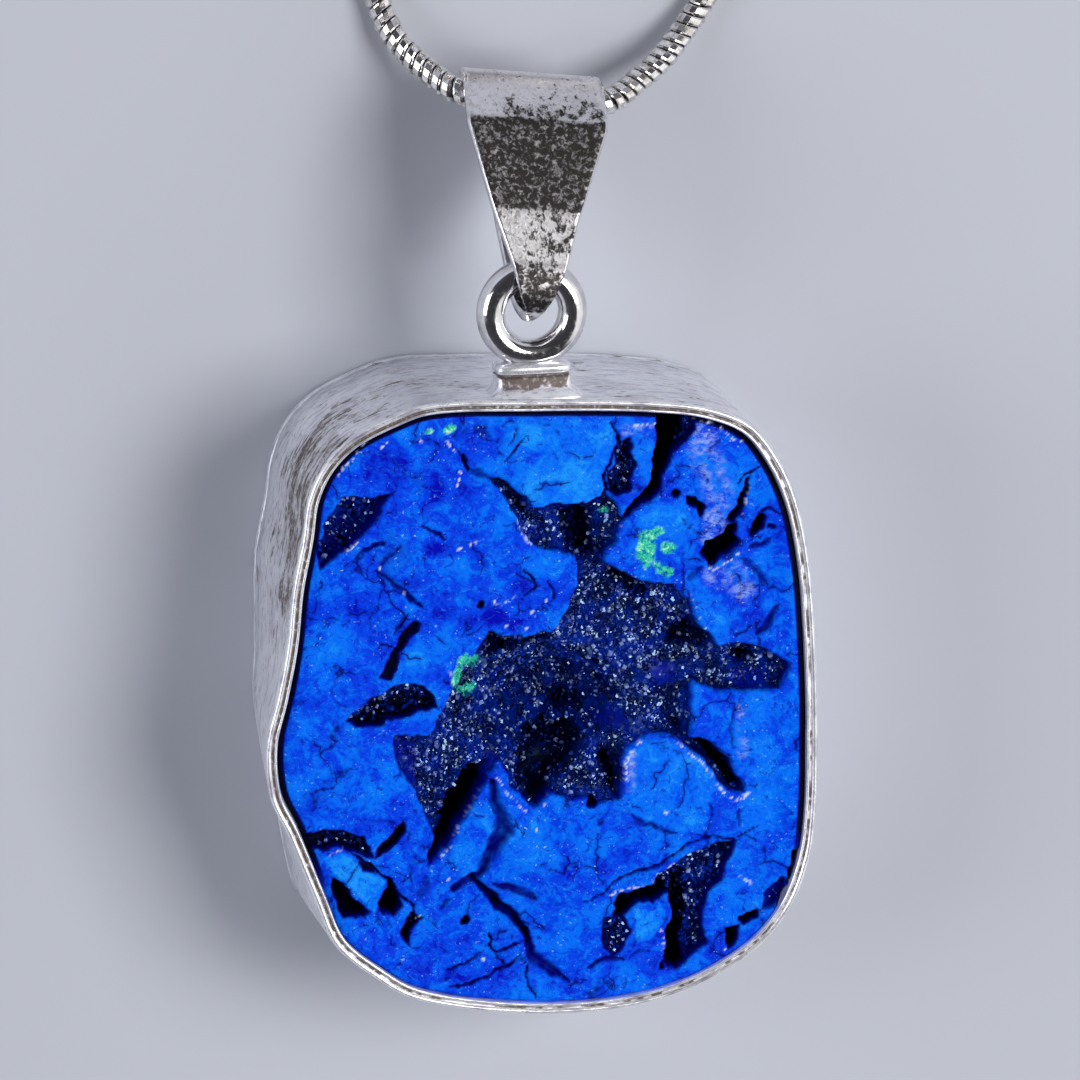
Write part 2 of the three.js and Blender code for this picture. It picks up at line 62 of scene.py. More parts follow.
# Setting
BEZEL_DEPTH = 10
WALL_THICKNESS = 0.6
PLATE_THICKNESS = 0.8
STONE_CLEARANCE = 0.06
FACE_LEVEL = BEZEL_DEPTH - 0.4
BACK_INSET = 1.45
LEAN_LOW = -12
LEAN_MIDDLE = -3.4
LEAN_HIGH = 6.5
HALF_WIDTH = 14
RIM_OUTLINE = [
    (-5.9, 16.1), (-0.3, 16.0), (5.7, 15.6), (8.5, 15.1), (10.6, 14.1), (12.1, 12.1), (13.0, 9.9),
    (13.6, 6.9), (13.9, 3.6), (14.1, -1.9), (14.0, -6.6), (13.7, -8.7), (12.8, -11.1), (11.2, -13.1),
    (8.6, -14.7), (6.0, -15.6), (2.9, -16.0), (-1.8, -15.8), (-6.8, -14.7), (-8.7, -13.5), (-10.7, -11.7),
    (-11.8, -9.1), (-13.1, -5.8), (-14.0, -3.8), (-14.2, -1.1), (-13.6, 1.5), (-13.1, 4.1), (-12.8, 6.9),
    (-12.3, 9.5), (-12.0, 11.5), (-11.2, 13.2), (-9.9, 14.5), (-7.6, 15.6),
]

# The druse-lined hollow of the stone's face
HOLLOW_OUTLINE = [
    (-3.3, 12.4), (-2.5, 12.0), (-1.7, 11.8), (-1.3, 11.2), (-0.8, 11.0), (-0.3, 10.4), (1.4, 10.3),
    (2.6, 10.4), (3.3, 10.9), (3.9, 10.4), (4.2, 9.5), (3.9, 8.4), (3.2, 7.5), (4.1, 6.9), (5.3, 6.1),
    (6.8, 5.9), (7.5, 5.1), (8.1, 3.8), (9.0, 2.6), (10.0, 2.8), (11.1, 2.5), (12.2, 1.9), (12.8, 1.3),
    (12.3, 0.1), (10.6, 0.2), (8.9, 0.3), (7.8, 0.9), (7.6, -0.3), (7.7, -2.0), (8.8, -2.3), (9.6, -3.4),
    (10.4, -4.6), (10.5, -5.2), (9.7, -5.0), (8.9, -4.3), (8.3, -3.3), (7.5, -2.6), (6.7, -2.0),
    (5.4, -1.8), (4.2, -2.4), (4.2, -5.0), (3.0, -5.2), (1.2, -4.8), (0.2, -4.5), (-0.4, -5.3),
    (-0.9, -4.8), (-1.7, -4.0), (-2.2, -2.8), (-2.9, -3.6), (-3.9, -4.9), (-4.6, -6.2), (-5.9, -7.8),
    (-5.7, -6.6), (-5.9, -5.6), (-6.4, -4.5), (-7.4, -2.8), (-7.8, -1.0), (-5.9, -1.1), (-5.3, -0.2),
    (-4.9, 0.8), (-4.4, 2.4), (-3.3, 3.1), (-2.7, 4.2), (-2.2, 3.8), (-0.6, 3.8), (0.4, 4.0), (1.4, 5.3),
    (1.9, 6.3), (1.7, 7.6), (1.0, 8.0), (-0.2, 8.3), (-0.8, 8.6), (-1.1, 9.2), (-1.5, 10.1), (-2.2, 11.3),
]
DEEP_CENTRE = (0.6, 0.0)
DEEP_RADIUS = (4.8, 3.3)
CRUST_RIM_DEPTH = 1.4
CRUST_DROP = 3.8
BOWL_START = 0.2
BOWL_END = 0.97
# Unevenness: height, size of its forms, seed
SWELL = (0.08, 2.2, 5)
FACE_GRIT = (0.025, 0.5, 9)
BOWL_SWELL = (0.28, 1.5, 71)
RAGGED_ACROSS = ((0.12, 0.8, 31), (0.04, 0.25, 33))
RAGGED_ALONG = ((0.12, 0.8, 47), (0.04, 0.25, 43))
RAGGED_SPOTS = (0.35, 0.5, 83)
RAGGED_TONES = (0.3, 0.9, 91)
FISSURE_PATCHES = (0.25, 0.4, 61)
BAIL_BLOTCH = (0.3, 2.0, 21)
SPECK_RADIUS = 0.10
STONE_PITCH = 0.094
CRUST_PITCH = 0.13
CRUST_THICKNESS = 0.3
CRUST_CORNERS = ((-8.6, -8.6), (13.2, 12.6))
CRYSTAL_CORNERS = ((-11.5, -14.4), (12.8, 14.8))
CRYSTAL_TRIES = 60000
CRYSTAL_SIZE = 0.075
# Share of crystals with pale tips painted as glints
GLINT_TIP_SHARE = 0.13
EDGE_DROP = 0.25
LOWER_RIGHT_RISE = 0.2

# Holes in the hollow's crust, painted black as shade: extra depth, outline
HOLES = [
    (1.7, [(-0.5, -1.6), (0.8, -1.65), (2.0, -1.5), (2.8, -2.1), (2.2, -2.9), (1.6, -3.6), (0.9, -4.2),
        (0.3, -4.7), (-0.25, -5.2), (-0.8, -4.7), (-1.2, -4.2), (-1.3, -3.6), (-1.2, -2.9),
        (-0.8, -2.1)]),
    (2.2, [(-3.4, -2.8), (-2.7, -2.8), (-2.8, -3.6), (-3.6, -5.0), (-4.5, -6.3), (-5.3, -7.4),
        (-6.0, -7.9), (-5.6, -6.6), (-4.9, -5.1), (-4.9, -4.4), (-3.9, -3.2)]),
    (0.9, [(1.1, -0.5), (2.0, -0.3), (3.0, -0.5), (3.0, -1.1), (2.1, -1.4), (1.2, -1.1)]),
    (1.2, [(2.8, -2.9), (3.5, -2.5), (4.1, -3.1), (4.0, -4.2), (3.8, -4.6), (3.3, -3.9)]),
    (1.5, [(1.0, 10.1), (2.6, 10.3), (2.9, 9.5), (2.7, 8.4), (2.8, 7.6), (2.0, 7.4), (1.5, 8.1),
        (0.9, 9.0)]),
    (0.8, [(3.3, 7.3), (5.0, 6.3), (5.9, 5.9), (5.8, 5.0), (4.9, 5.1), (3.7, 6.2)]),
    (0.8, [(6.4, 3.6), (7.7, 4.2), (8.8, 2.9), (8.6, 2.2), (7.7, 2.4), (6.5, 2.6)]),
    (1.0, [(9.8, 2.3), (10.8, 2.4), (11.4, 1.9), (10.6, 1.3), (9.8, 1.5)]),
    (1.6, [(7.8, -2.1), (8.8, -2.3), (9.6, -3.4), (10.4, -4.7), (9.8, -4.9), (8.7, -3.4)]),
    (0.7, [(-3.2, 3.1), (-2.7, 4.1), (-1.6, 3.6), (0.4, 3.8), (1.0, 3.2), (-1.0, 2.7), (-2.8, 2.3)]),
    (0.6, [(3.6, -3.3), (4.1, -3.3), (4.1, -5.1), (3.7, -5.1)]),
]

# Smooth deep-blue places on the crust, with few crystals: place and radii
BARE_PLACES = [
    ((-7.1, -1.9), (0.9, 0.9)), ((-6.8, -3.3), (0.45, 0.9)), ((4.0, -1.3), (0.8, 0.5)),
    ((-2.6, -3.1), (0.4, 0.7)), ((10.8, 0.7), (0.9, 0.5)), ((6.4, 1.0), (0.9, 0.8)),
]

# Steep cuts beside the hollow: depth, share of crystals, blackness of the shade painted in them, mouth
# outline
POCKETS = [
    (1.1, 0.8, 0.7, [(-10.1, 11.5), (-8.5, 11.3), (-7.4, 11.7), (-8.2, 10.7), (-9.1, 9.5), (-10.1, 8.6),
        (-11.4, 7.7), (-11.5, 8.6), (-11.1, 10.2)]),
    (2.2, 0.0, 1.0, [(-9.9, 11.0), (-9.5, 10.8), (-9.4, 9.7), (-9.8, 10.0), (-10.0, 10.6)]),
    (0.5, 0.0, 0.9, [(-8.4, 2.1), (-7.6, 3.5), (-7.3, 4.4), (-6.7, 4.9), (-6.2, 4.8), (-6.3, 4.2),
        (-6.8, 4.0), (-7.3, 2.7), (-7.8, 1.8)]),
    (1.4, 0.8, 1.0, [(-10.2, 0.0), (-9.0, 0.7), (-7.8, 1.5), (-7.0, 1.7), (-6.3, 1.6), (-5.7, 1.1),
        (-5.3, 0.2), (-6.2, 0.1), (-7.4, -0.1), (-8.6, -0.5), (-9.6, -0.5)]),
    (0.8, 1.0, 0.9, [(3.8, 13.6), (4.4, 13.7), (4.8, 12.3), (4.5, 11.8), (4.5, 11.0), (3.8, 10.7),
        (3.3, 11.0), (3.3, 12.1), (3.7, 12.5)]),
    (2.8, 0.1, 1.0, [(5.9, 14.9), (7.4, 14.8), (7.1, 13.5), (6.7, 12.8), (6.3, 11.9), (6.1, 11.0),
        (5.3, 10.2), (4.0, 9.4), (4.2, 10.0), (5.0, 10.7), (5.5, 11.7), (5.7, 12.8)]),
    (0.9, 1.0, 0.8, [(7.2, 14.8), (7.9, 14.5), (7.8, 13.8), (7.1, 13.2), (6.6, 12.6), (6.8, 13.6)]),
    (1.3, 0.0, 1.0, [(7.2, 10.5), (7.9, 10.5), (8.4, 9.9), (8.1, 9.4), (7.9, 9.9), (7.3, 10.1)]),
    (2.0, 0.0, 1.0, [(10.7, 11.5), (10.6, 10.5), (10.3, 9.8), (9.8, 9.0), (9.4, 9.3), (9.8, 9.8),
        (10.2, 10.6)]),
    (1.2, 0.0, 1.0, [(10.5, 8.2), (10.8, 9.0), (11.2, 9.4), (11.5, 9.2), (11.3, 8.7), (10.9, 8.4)]),
    (1.8, 0.1, 1.0, [(8.1, 7.4), (8.4, 8.1), (9.0, 8.4), (9.5, 9.0), (10.0, 9.1), (9.9, 8.4), (10.1, 7.9),
        (9.7, 7.4), (9.1, 7.3), (8.6, 6.6)]),
    (1.0, 1.0, 0.8, [(5.9, -9.1), (7.4, -8.1), (9.1, -7.6), (10.1, -7.5), (9.5, -8.7), (9.3, -9.6),
        (8.6, -10.1), (8.2, -11.8), (8.4, -12.8), (7.3, -13.7), (6.9, -10.6), (6.5, -10.1), (5.4, -9.9)]),
    (2.6, 0.1, 1.0, [(6.5, -9.2), (7.5, -8.9), (7.6, -10.6), (7.3, -12.2), (7.3, -13.7), (6.8, -14.1),
        (6.3, -13.8), (6.3, -12.2), (6.7, -11.2)]),
    (1.8, 0.1, 1.0, [(5.4, -9.6), (6.6, -9.4), (6.6, -10.1), (5.7, -10.6), (4.9, -10.5), (3.9, -11.3),
        (3.5, -11.1), (3.7, -10.2), (4.5, -9.9)]),
    (0.6, 1.0, 0.8, [(3.1, -11.2), (4.1, -11.1), (4.5, -11.9), (4.3, -12.8), (3.7, -13.4), (3.0, -12.8)]),
    (0.8, 0.9, 0.5, [(11.2, -11.3), (11.5, -10.3), (12.2, -9.4), (12.7, -9.7), (12.7, -10.5),
        (12.0, -11.3)]),
    (1.6, 0.0, 1.0, [(12.7, -9.2), (12.9, -8.4), (13.4, -8.1), (13.5, -9.3), (13.1, -10.5),
        (12.7, -10.3)]),
    (1.2, 0.0, 1.0, [(10.0, -11.5), (11.0, -11.1), (11.2, -11.6), (10.2, -12.0)]),
    (1.4, 0.0, 1.0, [(9.4, -12.9), (9.4, -12.0), (10.1, -11.9), (10.1, -12.8), (9.6, -13.3)]),
    (0.9, 0.6, 0.9, [(-12.4, -5.8), (-11.2, -5.5), (-9.8, -5.9), (-9.2, -6.2), (-8.6, -7.3), (-9.4, -7.1),
        (-10.6, -6.6), (-11.3, -6.7), (-12.1, -6.4)]),
    (0.8, 0.0, 1.0, [(-7.3, -5.4), (-7.1, -6.0), (-7.7, -6.7), (-8.6, -7.3), (-8.5, -6.7), (-8.0, -6.2)]),
    (2.2, 0.0, 1.0, [(-8.2, -8.1), (-8.0, -8.8), (-8.4, -9.8), (-8.2, -10.2), (-7.5, -10.3), (-7.2, -9.8),
        (-7.4, -9.1), (-7.8, -8.5)]),
    (1.6, 0.1, 0.9, [(-10.9, -8.1), (-9.9, -8.7), (-9.6, -9.4), (-8.8, -10.1), (-9.0, -10.4),
        (-10.3, -10.5), (-10.8, -9.2)]),
    (0.7, 0.0, 1.0, [(-9.5, -7.3), (-8.9, -7.6), (-8.6, -8.1), (-9.2, -7.9)]),
    (0.9, 0.5, 1.0, [(-6.7, -10.1), (-6.1, -10.5), (-6.7, -11.1), (-7.0, -12.0), (-7.3, -11.3),
        (-7.1, -10.7)]),
]

# Narrower cuts: greatest width, depth, blackness of the shade painted in them, route across the face
FISSURES = [
    (0.26, 0.5, 1.0, [(-4.1, 13.3), (-3.7, 12.4)]),
    (0.40, 0.3, 0.5, [(-3.8, 12.5), (-2.9, 12.2)]),
    (0.40, 0.3, 0.6, [(-8.5, 7.6), (-7.6, 6.9), (-6.9, 6.2), (-6.1, 5.6)]),
    (0.32, 0.3, 0.6, [(-9.6, 8.3), (-8.8, 8.7), (-8.1, 9.1)]),
    (0.20, 0.2, 0.8, [(-6.2, 9.7), (-5.5, 9.5), (-4.9, 9.0)]),
    (0.18, 0.2, 0.7, [(-6.9, 5.3), (-7.3, 4.9), (-7.7, 4.2)]),
    (0.20, 0.2, 0.8, [(-8.4, 3.8), (-7.8, 3.6)]),
    (0.22, 0.3, 0.8, [(-1.0, 7.4), (-0.4, 6.6), (-0.4, 6.3), (-1.0, 5.6)]),
    (0.18, 0.2, 0.6, [(-1.4, 7.2), (-0.9, 6.7), (-0.4, 6.4)]),
    (0.18, 0.2, 0.6, [(0.3, 6.6), (0.6, 6.2), (0.4, 5.6)]),
    (0.20, 0.2, 0.7, [(-0.7, 14.1), (-1.2, 13.5), (-1.9, 12.8)]),
    (0.16, 0.2, 0.6, [(-1.4, 14.5), (-1.7, 13.6)]),
    (0.26, 0.7, 1.0, [(-0.6, 10.4), (2.3, 10.3), (3.1, 10.8), (3.2, 12.1)]),
    (0.20, 0.4, 0.8, [(3.2, 12.0), (3.8, 13.3), (3.8, 13.9), (3.4, 14.5)]),
    (0.40, 1.0, 1.0, [(6.6, 10.8), (6.9, 10.4)]),
    (0.18, 0.3, 0.9, [(9.9, 11.0), (10.5, 11.5), (11.1, 11.9)]),
    (0.18, 0.3, 0.9, [(11.0, 9.4), (11.6, 9.6), (12.2, 9.2)]),
    (0.35, 0.3, 0.9, [(11.5, 8.8), (11.9, 8.7)]),
    (0.50, 0.2, 0.4, [(10.2, 7.1), (11.0, 6.5), (11.5, 5.7)]),
    (0.55, 0.3, 0.5, [(12.0, 4.6), (11.6, 3.6), (11.0, 3.2)]),
    (0.40, 0.2, 0.5, [(10.5, 7.7), (11.2, 7.7), (11.7, 8.2)]),
    (0.45, 0.2, 0.4, [(7.4, 6.1), (8.1, 6.8)]),
    (0.18, 0.2, 0.4, [(10.2, 0.0), (9.7, -1.5), (9.9, -3.1)]),
    (0.30, 0.2, 0.5, [(4.6, -5.8), (5.2, -6.4), (6.2, -6.8), (7.0, -7.0)]),
    (0.18, 0.2, 0.4, [(8.6, -5.3), (8.8, -6.3), (8.4, -7.3)]),
    (0.18, 0.2, 0.4, [(10.2, -5.9), (10.2, -6.8)]),
    (0.17, 0.4, 0.7, [(2.0, -10.4), (3.1, -10.0), (3.9, -9.3), (4.9, -8.9), (6.0, -8.5), (7.4, -7.6),
        (8.4, -7.3), (9.9, -7.4), (10.7, -7.1), (11.2, -6.7)]),
    (0.40, 0.3, 0.7, [(2.2, -13.8), (3.1, -13.4), (4.2, -13.5)]),
    (0.18, 0.2, 0.6, [(4.4, -13.4), (5.0, -13.1), (5.6, -13.0)]),
    (0.40, 0.3, 0.7, [(0.6, -13.9), (1.3, -14.4)]),
    (0.20, 0.5, 0.9, [(-9.8, -7.0), (-9.0, -7.5), (-8.2, -8.3), (-7.5, -9.0), (-6.4, -10.3)]),
    (1.00, 0.5, 0.5, [(-2.7, -3.6), (-2.2, -5.5), (-2.0, -6.5), (-2.9, -7.7), (-3.3, -8.6)]),
    (0.60, 0.4, 0.6, [(-3.2, -8.5), (-3.9, -8.8), (-4.7, -9.3)]),
    (0.60, 0.7, 0.9, [(-3.7, -8.6), (-2.9, -9.3), (-2.3, -10.1), (-1.5, -10.8), (-1.0, -11.6),
        (-0.8, -12.6)]),
    (0.70, 0.4, 0.6, [(-0.9, -12.0), (-0.4, -13.1), (0.9, -14.2)]),
    (0.60, 0.3, 0.6, [(-2.5, -9.0), (-1.3, -9.5), (-0.3, -10.0)]),
    (0.18, 0.3, 0.8, [(-2.8, -11.3), (-2.8, -12.2), (-2.4, -12.7), (-1.8, -12.5), (-1.2, -12.3)]),
    (0.18, 0.3, 0.7, [(-2.4, -12.8), (-2.0, -13.4)]),
    (0.18, 0.3, 0.7, [(-5.0, -13.3), (-4.1, -13.1), (-3.3, -12.8), (-2.9, -12.5)]),
    (0.20, 0.3, 0.8, [(-5.0, -14.3), (-3.9, -14.1), (-2.8, -13.8), (-1.8, -13.4), (-1.2, -13.0)]),
    (0.20, 0.3, 0.7, [(-0.8, -13.2), (-0.7, -14.5), (-0.4, -15.3)]),
    (0.80, 0.2, 0.4, [(-6.0, -8.4), (-6.4, -9.6)]),
    (0.35, 0.2, 0.5, [(-4.9, -9.6), (-5.3, -10.2)]),
]

# Pits, painted dark inside as shade: place, radii, depth
PITS = [
    ((-4.0, -10.9), (0.25, 0.25), 0.6), ((3.5, -11.7), (0.25, 0.15), 1.0),
    ((-10.1, 9.1), (0.3, 0.3), 1.6), ((2.5, -5.1), (0.3, 0.35), 0.9), ((-3.2, 5.6), (0.15, 0.2), 0.3),
    ((6.2, -13.9), (0.15, 0.2), 0.5),
]

# Standing plates: rise, how much lighter, outline
PLATES = [
    (0.08, 0.3, [(-1.1, 14.8), (1.3, 14.8), (3.4, 14.6), (3.7, 13.6), (3.1, 12.1), (3.0, 10.9),
        (2.3, 10.4), (-0.2, 10.5), (-2.0, 11.2), (-2.5, 12.4), (-2.0, 14.2)]),
    (0.10, 0.6, [(-11.3, -7.0), (-10.6, -6.8), (-9.9, -7.0), (-9.2, -7.9), (-8.2, -8.4), (-8.1, -8.9),
        (-8.6, -10.4), (-9.4, -9.3), (-9.8, -8.7), (-10.8, -8.0)]),
    (0.06, 0.3, [(4.4, -2.6), (5.5, -2.0), (6.7, -2.2), (7.5, -2.8), (8.2, -3.4), (8.8, -4.8),
        (8.4, -7.1), (7.0, -6.8), (5.2, -6.2), (4.4, -5.5)]),
    (0.05, 0.6, [(4.8, -10.9), (5.7, -10.9), (6.2, -10.5), (6.4, -11.4), (5.8, -12.3), (4.9, -12.8),
        (4.6, -11.8)]),
]

# Painted glints, broken up, along edges: width, route
GLINTS = [
    (0.14, [(-10.4, 12.6), (-9.8, 13.4), (-9.0, 14.2)]),
    (0.12, [(-5.0, 14.1), (-4.4, 13.5)]),
    (0.14, [(-1.8, 10.8), (-1.6, 10.3), (-1.2, 9.6), (-0.9, 8.6), (-0.3, 8.3)]),
    (0.10, [(-2.6, 5.8), (-2.1, 5.4), (-1.6, 5.6), (-1.3, 6.1)]),
    (0.12, [(-10.3, 8.5), (-9.8, 8.8), (-9.3, 9.3)]),
    (0.16, [(4.6, 14.3), (5.8, 14.4)]),
    (0.14, [(7.7, 14.4), (8.6, 14.2), (9.5, 13.6), (10.3, 13.1)]),
    (0.14, [(10.6, 10.7), (10.4, 10.0), (10.1, 9.2)]),
    (0.16, [(8.2, 6.8), (8.8, 6.5), (9.5, 7.0), (10.2, 7.4)]),
    (0.12, [(7.5, 5.3), (8.0, 4.4), (8.4, 3.5)]),
    (0.20, [(6.8, -2.1), (7.6, -2.8), (8.2, -3.4), (8.7, -4.2), (9.4, -5.0), (10.0, -5.4), (10.6, -5.2)]),
    (0.16, [(3.5, -10.0), (4.5, -9.7), (5.4, -9.6), (5.9, -9.0), (6.7, -8.5)]),
    (0.30, [(4.3, -4.0), (4.3, -2.7), (5.0, -2.1)]),
    (0.12, [(10.0, -9.3), (10.7, -9.9), (11.0, -9.7)]),
    (0.14, [(-3.0, -3.8), (-4.1, -5.7), (-5.2, -7.4)]),
    (0.22, [(-4.9, 2.3), (-4.7, 1.4), (-4.4, 0.8)]),
    (0.20, [(-2.4, -3.6), (-1.8, -4.4), (-0.8, -5.4)]),
    (0.15, [(0.0, -5.2), (0.3, -4.6)]),
    (0.22, [(8.4, -14.5), (9.0, -14.1)]),
    (0.20, [(6.1, -12.1), (6.2, -12.9)]),
    (0.12, [(-11.0, -6.9), (-10.3, -6.7)]),
    (0.14, [(3.9, 9.9), (4.1, 9.3)]),
]

# Single bright specks on the face, painted glints: their places
SPECKS = [
    (-6.2, 14.1), (-8.0, 14.1), (-8.2, 13.9), (-5.8, 14.6), (-4.2, 12.4), (-4.3, 12.0), (-4.4, 11.8),
    (-3.4, 8.8), (-3.8, 8.7), (-4.3, 8.5), (-8.3, 7.7), (-7.1, 6.3), (-2.5, 5.7), (-0.5, 5.0),
    (-0.9, 4.2), (-1.9, 4.3), (-9.5, -9.7), (-6.3, -10.4), (-4.8, -8.7), (-7.5, -5.9), (-0.3, -6.3),
    (9.4, -13.2), (9.9, -12.0), (-3.0, -13.0), (0.1, 5.6), (6.3, -5.9),
]

# Streaky lavender sheen, a painted reflection: width, route
SHEENS = [
    (1.5, [(8.1, 13.8), (8.2, 12.7), (8.7, 11.8), (9.0, 10.6), (8.8, 9.5), (8.6, 8.5)]),
    (1.3, [(8.8, 6.3), (9.7, 6.4), (10.3, 5.5)]),
    (0.6, [(4.2, 14.1), (5.5, 14.1)]),
    (0.6, [(10.2, -0.6), (10.3, -3.0)]),
    (0.5, [(4.5, -4.5), (4.6, -2.8)]),
]

# Green crust: place and radii
MALACHITE = [
    ((5.3, 7.7), (0.65, 0.95)), ((6.3, 7.9), (0.45, 0.35)), ((5.7, 8.8), (0.5, 0.25)),
    ((6.3, 6.7), (0.55, 0.25)), ((-3.7, 2.5), (0.65, 0.5)), ((-4.3, 1.7), (0.3, 0.65)),
    ((-3.7, 0.9), (0.7, 0.28)), ((-5.8, 14.6), (0.22, 0.12)), ((3.3, 9.8), (0.22, 0.16)),
    ((-4.7, 14.7), (0.35, 0.25)),
]

# Lighter and darker places of the face: place, radii, how much lighter
TONES = [
    ((2.0, 12.6), (4.0, 2.2), 0.5), ((-7.2, 12.4), (3.4, 1.8), -0.8), ((-4.5, 9.0), (2.4, 3.4), -0.1),
    ((-9.5, 3.5), (2.6, 2.6), 0.1), ((-3.0, 5.2), (2.4, 1.4), -0.4), ((-10.3, -2.6), (2.6, 3.0), -0.3),
    ((-8.4, -3.4), (1.2, 2.4), 0.4), ((-3.6, -6.8), (1.0, 2.2), 0.5), ((1.0, -8.4), (3.0, 2.8), 0.1),
    ((-6.0, -12.4), (3.2, 1.8), -0.3), ((11.2, -3.2), (1.8, 3.6), 0.6), ((9.6, 12.2), (2.2, 2.0), 0.3),
    ((9.9, -10.2), (1.4, 1.8), 0.4), ((-6.5, 3.0), (0.7, 0.7), 1.2), ((-0.2, 7.4), (0.9, 0.7), 0.7),
    ((6.2, 9.6), (1.4, 1.0), 0.7), ((13.0, 5.0), (0.4, 4.5), 0.7), ((2.6, -7.2), (1.8, 0.8), 0.4),
    ((-0.6, -7.6), (1.0, 0.9), 0.6), ((-5.5, 8.6), (0.55, 0.5), -2.2), ((-5.4, 5.5), (0.9, 0.9), -1.2),
    ((-5.8, 4.4), (0.5, 0.4), -1.8), ((-8.4, 13.0), (0.7, 0.5), -1.0), ((-7.0, 13.2), (0.5, 0.35), -1.2),
    ((-5.6, 11.6), (0.6, 1.0), -1.2), ((-0.6, 12.8), (0.35, 0.4), -2.2), ((-2.5, 5.0), (0.7, 0.45), -1.8),
    ((-1.5, 4.4), (0.6, 0.4), -2.0), ((-6.4, -9.3), (0.6, 1.0), -1.0), ((2.2, -6.4), (1.6, 0.6), -0.8),
    ((4.4, -9.8), (1.6, 0.5), -0.4), ((-9.7, 6.2), (1.2, 0.8), -0.5), ((-5.9, -13.6), (1.4, 0.7), -0.6),
    ((12.6, -6.6), (0.6, 1.4), -0.5),
]

# Ring, and the seat that carries it
RING_CENTRE = (-0.3, 20.1, 8.3)
RING_OUTER_RADIUS = 2.8
RING_WIRE_RADIUS = 0.725
RING_RADIUS = RING_OUTER_RADIUS - RING_WIRE_RADIUS

# Bail
BAIL_TILT = 28
BAIL_YAW = -7
BAIL_SHEET = 0.5
BAIL_TIP = 2.5
BAIL_TIP_DEPTH = 1.9
BAIL_FRONT = [
    (0, 1.9), (2.75, 2.2), (7.35, 2.25), (9.3, 1.55), (9.95, 1.15), (10.25, 0.65), (10.35, 0.2),
]
BAIL_EDGE = [
    (-2.5, 0.1), (-2.46, 0.24), (-2.35, 0.4), (-2.15, 0.56), (-1.6, 0.9), (-0.45, 1.3), (1.1, 1.78),
    (2.75, 2.28), (4.9, 3.0), (6.7, 3.54), (10.4, 3.6),
]
BACK_LEG_SHARE = 0.58
BAIL_SKEW = (-0.24, -0.14)
LOW_CREASE = 2.75
HIGH_CREASE = 7.35
BEVEL_SHARE = 0.955
BEVEL_INSET = 0.03
BEVEL_DEPTH = 0.11
BEVEL_SIDE = 0.16

# Snake chain
CHAIN_RADIUS = 0.65
LINK_PITCH = 0.62
RUN_ROUTE = [
    (-9.0, 40.1, 1.3), (-8.2, 38.9, 1.1), (-7.3, 37.0, 0.8), (-6.5, 34.7, 0.7), (-5.9, 33.1, 1.1),
    (-5.1, 32.0, 1.8), (-4.2, 31.2, 2.6), (-2.9, 30.4, 3.72), (-1.1, 30.3, 3.9), (0.7, 30.1, 4.0),
    (2.5, 29.8, 3.9), (4.6, 29.55, 3.6), (6.2, 30.2, 2.7), (7.7, 31.1, 1.9), (9.0, 32.3, 1.1),
    (10.2, 33.9, 0.7), (11.1, 36.2, 0.66), (11.9, 39.2, 0.66), (12.5, 42.0, 0.66),
]
RETURN_ROUTE = [
    (-6.6, 55.1, 1.4), (-8.3, 53.6, 0.9), (-10.0, 52.0, 0.8), (-11.4, 50.2, 1.1), (-12.1, 48.4, 1.3),
]
COIL_CENTRE = (2.0, 47.5)
COIL_MEAN_RADIUS = 7.8
TURNS_ACROSS = 4
COIL_START_ANGLE = 7
COIL_END_ANGLE = 100
COIL_STEP = 12.0
# Link: share of its length, share of the chain's radius; below GAP_RADIUS it is the gap, painted dark as
# shade
LINK_PROFILE = [(0.0, 0.80), (0.10, 0.97), (0.22, 1.0), (0.72, 1.0), (0.86, 0.93)]
GAP_RADIUS = 0.9
LINK_SIDES = 14
LINK_SLANT = 0.26
SLANT_TURN = 0.6
CLASP_ENDS = [(-9.15, 40.4, 1.3), (-11.95, 48.05, 1.3)]
CLASP_CAP_LENGTH = 0.9


# Geometry helpers

def linear_share(low, high, value):
    return np.clip((value - low) / (high - low), 0, 1)


def smoothstep(low, high, value):
    share = linear_share(low, high, value)
    return share * share * (3 - 2 * share)


def spline(points, steps, closed=False):
    """A centripetal Catmull-Rom curve through the points."""
    points = np.array(points, float)
    if closed:
        knots = np.vstack([points[-1:], points, points[:2]])
    else:
        before = 2 * points[0] - points[1]
        after = 2 * points[-1] - points[-2]
        knots = np.vstack([before, points, after])
    pieces = []
    share = np.linspace(0, 1, steps, endpoint=False)[:, None]
    for p0, p1, p2, p3 in zip(knots, knots[1:], knots[2:], knots[3:]):
        t1 = np.linalg.norm(p1 - p0) ** 0.5
        t2 = t1 + np.linalg.norm(p2 - p1) ** 0.5
        t3 = t2 + np.linalg.norm(p3 - p2) ** 0.5
        t = t1 + (t2 - t1) * share
        a1 = (t1 - t) / t1 * p0 + t / t1 * p1
        a2 = (t2 - t) / (t2 - t1) * p1 + (t - t1) / (t2 - t1) * p2
        a3 = (t3 - t) / (t3 - t2) * p2 + (t - t2) / (t3 - t2) * p3
        b1 = (t2 - t) / t2 * a1 + t / t2 * a2
        b2 = (t3 - t) / (t3 - t1) * a2 + (t - t1) / (t3 - t1) * a3
        pieces.append((t2 - t) / (t2 - t1) * b1 + (t - t1) / (t2 - t1) * b2)
    if not closed:
        pieces.append(points[-1:])
    return np.vstack(pieces)


def resample(path, spacing):
    """The same open path with points an even distance apart."""
    steps = np.linalg.norm(np.diff(path, axis=0), axis=1)
    along = np.concatenate([[0], np.cumsum(steps)])
    count = max(2, int(round(along[-1] / spacing)) + 1)
    places = np.linspace(0, along[-1], count)
    return np.stack([np.interp(places, along, path[:, axis]) for axis in range(3)], axis=1)


